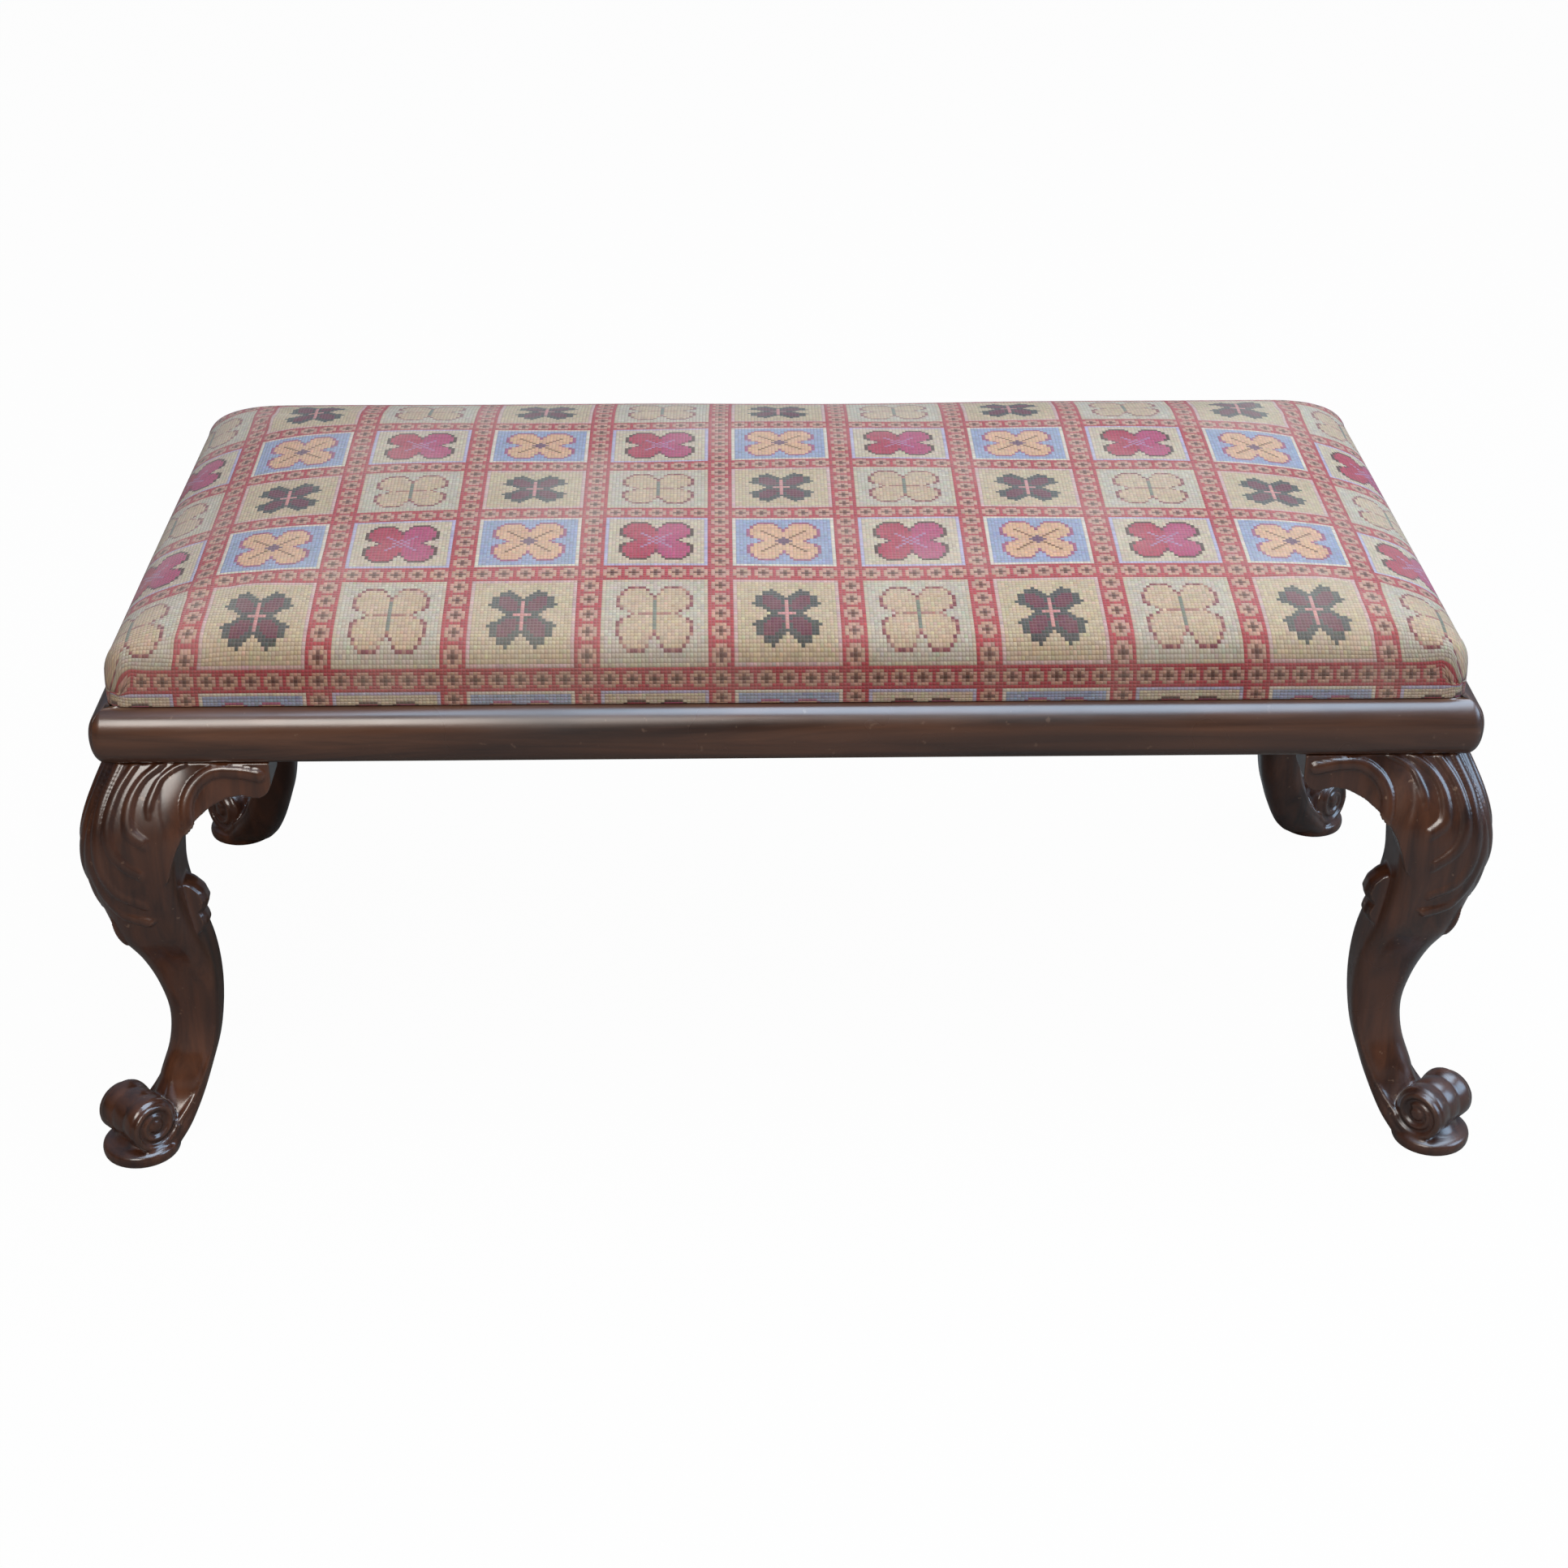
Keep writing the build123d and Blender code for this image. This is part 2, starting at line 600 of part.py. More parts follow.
# Soft layers, the cover and the bottom cloth
calico_depth = COVER_THICKNESS + LAYER_GAP
wadding_depth = calico_depth + CALICO_THICKNESS + LAYER_GAP
stuffing_depth = wadding_depth + WADDING_THICKNESS + LAYER_GAP
save("hessian", plan_slab(BATTEN_INSET + HESSIAN_SET_IN, HESSIAN_BOTTOM, HESSIAN_TOP))
calico_inside = crown_solid(calico_depth + CALICO_THICKNESS, HESSIAN_TOP)
save("calico", crown_solid(calico_depth, HESSIAN_TOP) - calico_inside)
wadding_inside = crown_solid(wadding_depth + WADDING_THICKNESS, HESSIAN_TOP)
save("wadding", crown_solid(wadding_depth, HESSIAN_TOP) - wadding_inside)
save("stuffing", crown_solid(stuffing_depth, HESSIAN_TOP))

window = plan_slab(SEAT_INSET + COVER_TURN_UNDER, LEDGE - COVER_THICKNESS, BATTEN_BOTTOM)
shell = crown_solid(0, LEDGE) - crown_solid(COVER_THICKNESS, BATTEN_BOTTOM)
save("needlepoint_cover", shell - [window, *cover_holes])
cloth_inset = SEAT_INSET + COVER_TURN_UNDER + BOTTOM_CLOTH_GAP
save("bottom_cloth", plan_slab(cloth_inset, BATTEN_BOTTOM - BOTTOM_CLOTH_THICKNESS, BATTEN_BOTTOM))
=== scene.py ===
# %% [markdown]
# # A needlepoint stool on carved cabriole legs
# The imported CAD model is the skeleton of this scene. Hidden joinery stays as it was made in CAD,
# and the pieces that a viewer sees close up, the carved legs and the stitched seat, get finer meshes
# in the same frame. Units are metres here, with X along the stool, Y to the back and Z up.

import json
import math

import bmesh
import bpy
import numpy as np
from mathutils import Matrix, Vector


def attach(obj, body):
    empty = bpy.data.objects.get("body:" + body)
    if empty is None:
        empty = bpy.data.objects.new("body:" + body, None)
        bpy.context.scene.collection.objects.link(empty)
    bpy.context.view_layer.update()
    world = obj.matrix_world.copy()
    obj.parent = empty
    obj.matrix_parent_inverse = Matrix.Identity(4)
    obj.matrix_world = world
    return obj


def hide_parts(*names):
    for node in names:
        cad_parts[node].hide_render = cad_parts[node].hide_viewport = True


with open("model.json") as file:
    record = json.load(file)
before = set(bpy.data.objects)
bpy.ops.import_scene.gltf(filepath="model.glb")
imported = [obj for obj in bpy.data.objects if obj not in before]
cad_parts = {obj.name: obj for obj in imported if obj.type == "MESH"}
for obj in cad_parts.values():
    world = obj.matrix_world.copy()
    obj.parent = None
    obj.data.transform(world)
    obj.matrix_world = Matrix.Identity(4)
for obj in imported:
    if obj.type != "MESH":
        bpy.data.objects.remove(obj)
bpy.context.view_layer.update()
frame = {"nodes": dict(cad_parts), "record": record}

# %% Sizes shared by the cells below, in millimetres
MM = 0.001
FRAME_LENGTH = 1000.0
FRAME_DEPTH = 504.0
LEG_HEIGHT = 331.0
RAIL_TOP = 374.0
LEDGE = 355.0
SEAT_INSET = 20.2
FRAME_BODY = "stool_frame"
SEAT_BODY = "slip_seat"

# %% [markdown]
# ## Helpers for node materials
# Long node trees are easier to read as formulas. `Field` wraps one node socket, and Python's own
# operators add math nodes, so `noise * 2 + 1` builds two nodes and wires them.


# %% Node formula helper
class Field:
    def __init__(self, tree, socket):
        self.tree = tree
        self.socket = socket

    def _math(self, operation, *values):
        node = self.tree.nodes.new("ShaderNodeMath")
        node.operation = operation
        for slot, value in zip(node.inputs, (self, *values)):
            put(self.tree, slot, value)
        return Field(self.tree, node.outputs[0])

    def __add__(self, other):
        return self._math("ADD", other)

    def __sub__(self, other):
        return self._math("SUBTRACT", other)

    def __mul__(self, other):
        return self._math("MULTIPLY", other)

    def sin(self):
        return self._math("SINE")

    def abs(self):
        return self._math("ABSOLUTE")

    def power(self, other):
        return self._math("POWER", other)

    def ramp(self, low, high):
        node = self.tree.nodes.new("ShaderNodeMapRange")
        put(self.tree, node.inputs["Value"], self)
        node.inputs["From Min"].default_value = low
        node.inputs["From Max"].default_value = high
        return Field(self.tree, node.outputs["Result"])


def put(tree, slot, value):
    if isinstance(value, Field):
        tree.links.new(value.socket, slot)
    else:
        slot.default_value = value


def srgb(red, green, blue):
    def linear(byte):
        share = byte / 255
        return share / 12.92 if share <= 0.04045 else ((share + 0.055) / 1.055) ** 2.4

    return (linear(red), linear(green), linear(blue), 1.0)


def new_material(name):
    material = bpy.data.materials.new(name)
    material.use_nodes = True
    tree = material.node_tree
    return material, tree, tree.nodes["Principled BSDF"]


def object_coords(tree, scale):
    coords = tree.nodes.new("ShaderNodeTexCoord")
    mapping = tree.nodes.new("ShaderNodeMapping")
    mapping.inputs["Scale"].default_value = scale
    tree.links.new(coords.outputs["Object"], mapping.inputs["Vector"])
    return Field(tree, mapping.outputs["Vector"])


def noise(tree, vector, scale, detail=4.0, roughness=0.55, distortion=0.0):
    node = tree.nodes.new("ShaderNodeTexNoise")
    tree.links.new(vector.socket, node.inputs["Vector"])
    node.inputs["Scale"].default_value = scale
    node.inputs["Detail"].default_value = detail
    node.inputs["Roughness"].default_value = roughness
    node.inputs["Distortion"].default_value = distortion
    return Field(tree, node.outputs["Fac"])


def blend_colour(tree, factor, first, second):
    node = tree.nodes.new("ShaderNodeMix")
    node.data_type = "RGBA"
    put(tree, node.inputs["Factor"], factor)
    for slot, value in ((node.inputs[6], first), (node.inputs[7], second)):
        put(tree, slot, value)
    return Field(tree, node.outputs[2])


def bump(tree, shader, height, strength, distance):
    node = tree.nodes.new("ShaderNodeBump")
    node.inputs["Strength"].default_value = strength
    node.inputs["Distance"].default_value = distance
    put(tree, node.inputs["Height"], height)
    tree.links.new(node.outputs["Normal"], shader.inputs["Normal"])


# %% [markdown]
# ## Wood
# Old polished walnut is paler on worn edges, and here its colour is also made darker in the hollows.
# Stretched noise makes the grain, slow noise makes the patchy polish, and the mesh's pointiness finds
# edges and hollows.


# %% Wood materials
WORN_EDGE = srgb(128, 92, 70)
HOLLOW_DARK = srgb(22, 14, 11)
BARE_KNOCK = srgb(150, 116, 92)
COAT_IOR = 1.65


def wood(name, dark, light, grain_scale, gloss, wear_and_hollows, coat=0.0, satin=0.14):
    material, tree, shader = new_material(name)
    grain_vector = object_coords(tree, grain_scale)
    even_vector = object_coords(tree, (1.0, 1.0, 1.0))
    grain = noise(tree, grain_vector, 60.0, 6.0, 0.6, 0.6)
    patches = noise(tree, even_vector, 7.0, 3.0)
    flecks = noise(tree, grain_vector, 260.0, 3.0)
    colour = blend_colour(tree, grain.ramp(0.3, 0.72), dark, light)
    colour = blend_colour(tree, patches.ramp(0.35, 0.75) * 0.45, colour, dark)
    geometry = tree.nodes.new("ShaderNodeNewGeometry")
    pointy = Field(tree, geometry.outputs["Pointiness"])
    colour = blend_colour(tree, pointy.ramp(0.52, 0.62) * wear_and_hollows, colour, WORN_EDGE)
    # The hollows that pointiness finds are made darker.
    colour = blend_colour(tree, pointy.ramp(0.48, 0.40) * wear_and_hollows, colour, HOLLOW_DARK)
    knocks = noise(tree, even_vector, 150.0, 2.0)
    colour = blend_colour(tree, knocks.ramp(0.70, 0.76) * wear_and_hollows * 0.6, colour, BARE_KNOCK)
    put(tree, shader.inputs["Base Color"], colour)
    put(tree, shader.inputs["Roughness"], patches.ramp(0.2, 0.8) * 0.22 + gloss)
    shader.inputs["Coat Weight"].default_value = coat
    put(tree, shader.inputs["Coat Roughness"], patches.ramp(0.3, 0.7) * 0.2 + satin)
    shader.inputs["Coat IOR"].default_value = COAT_IOR
    shader.inputs["Specular IOR Level"].default_value = 0.25
    bump(tree, shader, grain * 0.6 + flecks * 0.4, 0.25, 0.0006)
    return material


ALONG_X = (0.06, 1.0, 1.0)
ALONG_Y = (1.0, 0.06, 1.0)
ALONG_Z = (1.0, 1.0, 0.08)
WALNUT_DARK = srgb(45, 26, 18)
WALNUT_LIGHT = srgb(104, 64, 43)
LEG_DARK = srgb(40, 20, 13)
LEG_LIGHT = srgb(96, 54, 33)
rail_x_wood = wood("walnut along X", WALNUT_DARK, WALNUT_LIGHT, ALONG_X, 0.24, 0.35, 1.0, 0.2)
rail_y_wood = wood("walnut along Y", WALNUT_DARK, WALNUT_LIGHT, ALONG_Y, 0.24, 0.35, 1.0, 0.2)
leg_wood = wood("carved walnut", LEG_DARK, LEG_LIGHT, ALONG_Z, 0.24, 0.7, 1.0)
beech_wood = wood("beech blocks", srgb(150, 112, 78), srgb(184, 146, 104), ALONG_Z, 0.5, 0.1)
pine_wood = wood("pine battens", srgb(176, 138, 92), srgb(206, 170, 120), ALONG_X, 0.55, 0.1)

# %% [markdown]
# ## Plain cloth and metal for the hidden pieces
# The drop-in seat can be lifted, so its battens, tacks and screws need a finish too.


# %% Cloth and metal materials
def weave(name, colour, shade, threads):
    material, tree, shader = new_material(name)
    vector = object_coords(tree, (1.0, 1.0, 1.0))
    split = tree.nodes.new("ShaderNodeSeparateXYZ")
    tree.links.new(vector.socket, split.inputs["Vector"])
    across = (Field(tree, split.outputs["X"]) * threads).sin()
    along = (Field(tree, split.outputs["Y"]) * threads).sin()
    height = across * along
    fuzz = noise(tree, vector, 90.0)
    mixed = blend_colour(tree, (height * 0.35 + fuzz).ramp(0.2, 0.9), shade, colour)
    put(tree, shader.inputs["Base Color"], mixed)
    shader.inputs["Roughness"].default_value = 0.92
    bump(tree, shader, height, 0.5, 0.0006)
    return material


def metal(name, colour, rough):
    material, tree, shader = new_material(name)
    vector = object_coords(tree, (1.0, 1.0, 1.0))
    scuffs = noise(tree, vector, 180.0)
    mixed = blend_colour(tree, scuffs.ramp(0.35, 0.8), colour, srgb(60, 50, 44))
    put(tree, shader.inputs["Base Color"], mixed)
    shader.inputs["Metallic"].default_value = 0.9
    put(tree, shader.inputs["Roughness"], scuffs * 0.3 + rough)
    return material


jute_cloth = weave("jute webbing", srgb(168, 138, 96), srgb(110, 84, 54), 2200.0)
cotton_cloth = weave("cotton layers", srgb(226, 219, 204), srgb(190, 180, 160), 3000.0)
hair_cloth = weave("curled hair", srgb(70, 58, 50), srgb(36, 28, 24), 900.0)
black_cloth = weave("black bottom cloth", srgb(46, 46, 50), srgb(24, 24, 28), 4200.0)
steel_metal = metal("dull steel screws", srgb(150, 148, 144), 0.35)
iron_metal = metal("blued iron tacks", srgb(74, 76, 82), 0.4)

# %% [markdown]
# ## Dress the CAD nodes that stay visible
# Each node keeps its CAD mesh and takes the material of its record slot. The rails along X and Y
# get the same walnut with the grain turned to run along the piece.

# %% Materials on CAD nodes
SLOT_MATERIALS = {
    "walnut": leg_wood,
    "beech": beech_wood,
    "pine": pine_wood,
    "dowel": pine_wood,
    "screw_steel": steel_metal,
    "tack_iron": iron_metal,
    "jute": jute_cloth,
    "hessian": jute_cloth,
    "hair": hair_cloth,
    "cotton": cotton_cloth,
    "needlepoint": cotton_cloth,
    "black_cloth": black_cloth,
}
NODE_MATERIALS = {
    "front_rail": rail_x_wood,
    "back_rail": rail_x_wood,
    "left_rail": rail_y_wood,
    "right_rail": rail_y_wood,
}
for part in frame["record"]["subparts"]:
    node = frame["nodes"][part["node"]]
    node.data.materials.clear()
    finish = NODE_MATERIALS.get(part["node"], SLOT_MATERIALS[part["material_slot"]])
    node.data.materials.append(finish)
print("dressed", len(frame["nodes"]), "CAD nodes")

# %% [markdown]
# ## The stitch chart
# The needlepoint is a traditional trellis: red bands with cream rings cross every 36 stitches, and
# each square holds one of four flowers. Everything is a rule on whole stitch numbers, so each
# stitch gets one wool colour.

# %% Chart rules
STITCH = 2.65
CHART_SHIFT = -25.0
PERIOD = 36
FIELD_HALF = 14
RING_PITCH = 6
WOOL_FADE = np.array((0.65, 0.54, 0.49))
WOOL = {
    "red": srgb(182, 82, 84),
    "ring": srgb(200, 158, 136),
    "plus": srgb(104, 72, 60),
    "plus_arm": srgb(136, 98, 84),
    "beige": srgb(202, 184, 150),
    "pink_edge": srgb(208, 178, 168),
    "moss": srgb(88, 90, 84),
    "burgundy": srgb(118, 72, 80),
    "pink": srgb(208, 150, 142),
    "aqua": srgb(198, 190, 168),
    "sand_edge": srgb(200, 186, 160),
    "cream": srgb(204, 182, 150),
    "brick": srgb(142, 84, 86),
    "sage": srgb(130, 136, 120),
    "rose_brown": srgb(176, 130, 116),
    "straw": srgb(206, 192, 164),
    "lilac_edge": srgb(188, 182, 200),
    "crimson": srgb(180, 72, 88),
    "magenta": srgb(184, 84, 116),
    "olive": srgb(98, 76, 66),
    "lilac": srgb(178, 136, 164),
    "blue": srgb(158, 170, 192),
    "cream_edge": srgb(218, 208, 188),
    "peach": srgb(222, 180, 142),
    "plum": srgb(166, 100, 126),
    "bark": srgb(142, 106, 78),
    "violet": srgb(122, 92, 108),
}
WOOL_NAMES = list(WOOL)


def lobes(across, up, grow):
    """Four round petals with notches between them, grown or shrunk by some stitches."""
    wide = np.abs(across - 4.6) / (5.6 + grow)
    tall = np.abs(up - 5.2) / (6.3 + grow)
    core = (across <= 5 + grow) & (up <= 6 + grow)
    notched = (up <= 7 + grow + 1.6 * across) & (across <= 6.2 + grow + 1.4 * up)
    return ((wide**2.5 + tall**2.5 <= 1) | core) & notched


def leafy(across, up, length, width):
    """Four leaf-shaped petals that point away from the middle along the diagonals."""
    along = (across * 1.12 + up) / math.sqrt(2)
    beside = (across * 1.12 - up) / math.sqrt(2)
    return ((along - 6.2) / length) ** 2 + (beside / width) ** 2 <= 1


def toothed(across, up):
    """Four petals with toothed edges and a notch on each side of the flower."""
    notched = (up <= 6 + 1.3 * across) & (across <= 4.5 + 1.2 * up)
    petal = (across <= 9) & (up <= 10) & (across + up <= 15) & notched
    gap = ((across == 5) & (up == 10)) | ((across == 7) & (up == 8)) | ((across == 9) & (up != 4))
    return petal & ~gap


def chart(column, row):
    """Names the wool of every stitch, counted from the middle of the seat."""
    local_x = (column + FIELD_HALF) % PERIOD - FIELD_HALF
    local_y = (row + FIELD_HALF) % PERIOD - FIELD_HALF
    cell_x = (column + FIELD_HALF) // PERIOD
    cell_y = (row + FIELD_HALF) // PERIOD
    wool = np.full(column.shape, "red", dtype=object)
    band_x = local_x > FIELD_HALF
    band_y = local_y > FIELD_HALF
    ring_x = np.abs((column - PERIOD // 2 + RING_PITCH // 2) % RING_PITCH - RING_PITCH // 2)
    ring_y = np.abs((row - PERIOD // 2 + RING_PITCH // 2) % RING_PITCH - RING_PITCH // 2)
    edge = (np.abs(local_x - PERIOD // 2) > 2) & (np.abs(local_y - PERIOD // 2) > 2)
    ring = (band_x | band_y) & ~edge & (ring_x <= 2) & (ring_y <= 2) & (ring_x + ring_y < 4)
    wool[ring] = "ring"
    wool[ring & (ring_x + ring_y <= 1)] = "plus_arm"
    wool[ring & (ring_x + ring_y == 0)] = "plus"

    field = ~(band_x | band_y)
    across, up = np.abs(local_x), np.abs(local_y)
    border = field & (np.maximum(across, up) == FIELD_HALF)
    even_x, even_y = cell_x % 2 == 0, cell_y % 2 == 0

    dark = field & even_x & even_y
    wool[dark] = "beige"
    wool[dark & border] = "pink_edge"
    wool[dark & toothed(across, up)] = "moss"
    wool[dark & leafy(across, up, 3.9, 2.5)] = "burgundy"
    wool[dark & (across == 0) & (up <= 5)] = "pink"
    wool[dark & (up == 0) & (across <= 2)] = "pink"

    pale = field & ~even_x & even_y
    wool[pale] = "aqua"
    wool[pale & border] = "sand_edge"
    flower = pale & lobes(across, up, 0)
    wool[flower] = "brick"
    wool[flower & ((column + row) % 3 == 0)] = "rose_brown"
    wool[flower & lobes(across, up, -1)] = "cream"
    wool[pale & (across == 0) & (up <= 5)] = "sage"
    wool[pale & (up == 0) & (across >= 1) & (across <= 4)] = "rose_brown"

    ruby = field & ~even_x & ~even_y
    wool[ruby] = "straw"
    wool[ruby & border] = "lilac_edge"
    flower = ruby & lobes(across, up, 0)
    wool[flower] = "burgundy"
    wool[flower & ((across > 8) | (up > 9))] = "olive"
    inner = flower & lobes(across, up, -1)
    wool[inner] = "crimson"
    wool[inner & (local_x > 0)] = "magenta"
    wool[inner & (across == up) & (across <= 4)] = "lilac"
    wool[inner & (across + up <= 3) & ((across + up) % 2 == 0)] = "lilac"

    sky = field & even_x & ~even_y
    wool[sky] = "blue"
    wool[sky & border] = "cream_edge"
    flower = sky & lobes(across, up, 0)
    wool[flower] = "plum"
    inner = flower & lobes(across, up, -1)
    wool[inner] = "peach"
    wool[inner & (across == up) & (across <= 6)] = "bark"
    wool[sky & (across + up <= 2)] = "violet"
    return wool


# %% [markdown]
# ## The crowned seat
# The cover starts as a sheet that follows the stuffing, with its grid lines an equal number of
# stitches apart along the cloth. A short cloth simulation with a little air pressure inside then
# lets it settle, pinned at the edge where the cover goes down into the rebate.

# %% Crown shape
END_INSET = 12.5
SIDE_INSET = 13.0
HALF_X = FRAME_LENGTH / 2 - END_INSET
HALF_Y = FRAME_DEPTH / 2 - SIDE_INSET
BULGE_Z = RAIL_TOP + 12.0
LIP_Z = RAIL_TOP + 0.5
CROWN_RISE = 64.0
CROWN_POWER = 2.35
END_FULLNESS = 3.2
SIDE_FULLNESS = 4.5
CORNER_RADIUS = 15.0
CORNER_GROWTH = 0.5
CORNER_SHARE = 0.8
STUFFING_LUMPS = 0.8
LUMP_X, LUMP_Y = 83.0, 61.0
RIPPLE_X, RIPPLE_Y, RIPPLE_SHARE = 47.0, 58.0, 0.7
PULL_X, PULL_Y = 131.0, 90.0
PATTERN_PULL = 2.2
PATTERN_SPREAD = 0.02
PATTERN_EASE = 0.006
PATTERN_SHIFT = -2.0


def crown_inset(level, fullness):
    """How far in from the widest line the cover has come at a share of the crown's rise."""
    return HALF_Y * (1 - (1 - level**fullness) ** (1 / CROWN_POWER))


def beyond_outline(x, y, half_x, half_y, radius):
    """Signed distance to a rounded rectangle, and the way out from its corner centre."""
    over_x = np.abs(x) - (half_x - radius)
    over_y = np.abs(y) - (half_y - radius)
    out_x, out_y = np.maximum(over_x, 0), np.maximum(over_y, 0)
    reach = np.hypot(out_x, out_y)
    inside = np.minimum(np.maximum(over_x, over_y), 0)
    scale = 1 / np.maximum(reach, 1e-6)
    return reach + inside - radius, np.sign(x) * out_x * scale, np.sign(y) * out_y * scale


def onto_outline(x, y, half_x, half_y, radius):
    """Brings points that stick out past a rounded rectangle back onto it."""
    past, way_x, way_y = beyond_outline(x, y, half_x, half_y, radius)
    past = np.maximum(past, 0)
    return x - past * way_x, y - past * way_y


def crown_level(x, y):
    """The share of the crown's rise at plan points, found by halving."""
    low, high = np.zeros(x.shape), np.ones(x.shape)
    for _ in range(36):
        level = (low + high) / 2
        side = crown_inset(level, SIDE_FULLNESS)
        half_x = HALF_X - crown_inset(level, END_FULLNESS)
        half_y = HALF_Y - side
        radius = np.minimum(CORNER_RADIUS + CORNER_GROWTH * side, CORNER_SHARE * half_y)
        past = beyond_outline(x, y, half_x, half_y, radius)[0]
        low, high = np.where(past < 0, level, low), np.where(past < 0, high, level)
    return (low + high) / 2


def by_cloth_length(half, fullness):
    """Distances along the cloth from the middle to the lip, with the plan reach and drop of each."""
    level = np.linspace(0, 1, 4000)
    reach = np.concatenate(([half, half], half - crown_inset(level, fullness), [0]))
    height = np.concatenate(([LIP_Z, BULGE_Z], BULGE_Z + CROWN_RISE * level, [BULGE_Z + CROWN_RISE]))
    length = np.concatenate(([0], np.cumsum(np.hypot(np.diff(reach), np.diff(height)))))
    drop = np.maximum(BULGE_Z - height, 0)
    return (length[-1] - length)[::-1], reach[::-1], drop[::-1]


CLOTH_LINES = (by_cloth_length(HALF_X, END_FULLNESS), by_cloth_length(HALF_Y, SIDE_FULLNESS))
CLOTH_HALF_X, CLOTH_HALF_Y = (lengths[-1] for lengths, _, _ in CLOTH_LINES)
print("cloth half sizes %.1f and %.1f mm" % (CLOTH_HALF_X, CLOTH_HALF_Y))


def crown_points(cloth_x, cloth_y):
    """Points of the stretched cover over a grid of distances along the cloth."""
    plans, drops = [], []
    for cloth, (lengths, reach, drop) in zip((cloth_x, cloth_y), CLOTH_LINES):
        plans.append(np.sign(cloth) * np.interp(np.abs(cloth), lengths, reach))
        drops.append(np.interp(np.abs(cloth), lengths, drop))
    x, y = np.meshgrid(*plans, indexing="ij")
    drop = np.maximum(*np.meshgrid(*drops, indexing="ij"))
    x, y = onto_outline(x, y, HALF_X, HALF_Y, CORNER_RADIUS)
    loose = crown_level(x, y) ** 2
    x = x + loose * (x * (PATTERN_SPREAD * y / HALF_Y - PATTERN_EASE) + PATTERN_SHIFT)
    level = crown_level(x, y)
    z = BULGE_Z + CROWN_RISE * level - drop
    lumps = np.sin(x / LUMP_X + 0.6) * np.sin(y / LUMP_Y + 1.1)
    lumps += RIPPLE_SHARE * np.sin(x / RIPPLE_X + y / RIPPLE_Y)
    pull = np.sin(x / PULL_X + 2.0) * np.cos(y / PULL_Y + 0.4)
    loose = level**2
    y = y + PATTERN_PULL * pull * loose
    return np.stack([x, y, z + STUFFING_LUMPS * lumps * loose], axis=-1)


# %% Grid meshes
def grid_faces(columns, rows):
    first = np.arange(columns * rows).reshape(columns, rows)
    corners = (first[:-1, :-1], first[1:, :-1], first[1:, 1:], first[:-1, 1:])
    return np.stack([corner.ravel() for corner in corners], axis=-1)


def new_mesh(name, points, faces):
    mesh = bpy.data.meshes.new(name)
    mesh.from_pydata(points.tolist(), [], faces.tolist() if hasattr(faces, "tolist") else faces)
    mesh.update()
    piece = bpy.data.objects.new(name, mesh)
    bpy.context.scene.collection.objects.link(piece)
    return piece


def smooth(piece):
    piece.data.polygons.foreach_set("use_smooth", [True] * len(piece.data.polygons))


# %% Cloth simulation of the cover
COARSE_STEP = 3
SIM_FRAMES = 20
PRESSURE = 4.0
MOST_MOVE = 2.0
LEAST_GAP = 0.1


def settle(points):
    """Settled points of a coarse sheet after the simulation, kept out of the stuffing under it."""
    columns, rows = points.shape[:2]
    apart = np.stack(np.meshgrid(np.arange(columns), np.arange(rows), [0], indexing="ij"), axis=-1)
    start = points + LEAST_GAP * apart[:, :, 0]
    sheet = new_mesh("cover_sheet", start.reshape(-1, 3) * MM, grid_faces(columns, rows))
    rim = np.zeros((columns, rows), dtype=bool)
    rim[[0, -1], :] = True
    rim[:, [0, -1]] = True
    pin = sheet.vertex_groups.new(name="rim")
    pin.add([int(index) for index in np.flatnonzero(rim.ravel())], 1.0, "REPLACE")
    cloth = sheet.modifiers.new("cloth", "CLOTH")
    settings = cloth.settings
    settings.quality = 6
    settings.mass = 0.4
    settings.tension_stiffness = 30.0
    settings.compression_stiffness = 30.0
    settings.shear_stiffness = 12.0
    settings.bending_stiffness = 3.0
    settings.vertex_group_mass = "rim"
    settings.use_pressure = True
    settings.uniform_pressure_force = PRESSURE
    settings.effector_weights.gravity = 0.0
    cloth.point_cache.frame_start = 1
    cloth.point_cache.frame_end = SIM_FRAMES
    scene = bpy.context.scene
    for step in range(1, SIM_FRAMES + 1):
        scene.frame_set(step)
    settled = sheet.evaluated_get(bpy.context.evaluated_depsgraph_get()).to_mesh()
    moved = np.empty(columns * rows * 3)
    settled.vertices.foreach_get("co", moved)
    scene.frame_set(1)
    bpy.data.objects.remove(sheet)
    shift = moved.reshape(columns, rows, 3) / MM - start
    outward = np.cross(np.gradient(start, axis=0), np.gradient(start, axis=1))
    outward /= np.maximum(np.linalg.norm(outward, axis=-1, keepdims=True), 1e-9)
    shift -= outward * np.minimum((shift * outward).sum(axis=-1, keepdims=True), 0)
    size = np.linalg.norm(shift, axis=-1, keepdims=True)
    shift *= np.minimum(1, MOST_MOVE / np.maximum(size, 1e-6))
    print("cover moved at most %.1f mm" % np.linalg.norm(shift, axis=-1).max())
    return points + shift


def resample(points, place, axis):
    """Cubic points at fractional grid places along one axis of a grid."""
    points = np.moveaxis(points, axis, 0)
    base = np.clip(place.astype(int), 0, len(points) - 2)
    share = (place - base).reshape((-1,) + (1,) * (points.ndim - 1))
    take = [points[np.clip(base + step, 0, len(points) - 1)] for step in (-1, 0, 1, 2)]
    before, start, end, after = take
    slope_start, slope_end = (end - before) / 2, (after - start) / 2
    cube = 2 * start - 2 * end + slope_start + slope_end
    square = 3 * end - 3 * start - 2 * slope_start - slope_end
    mixed = ((cube * share + square) * share + slope_start) * share + start
    return np.moveaxis(mixed, 0, axis)


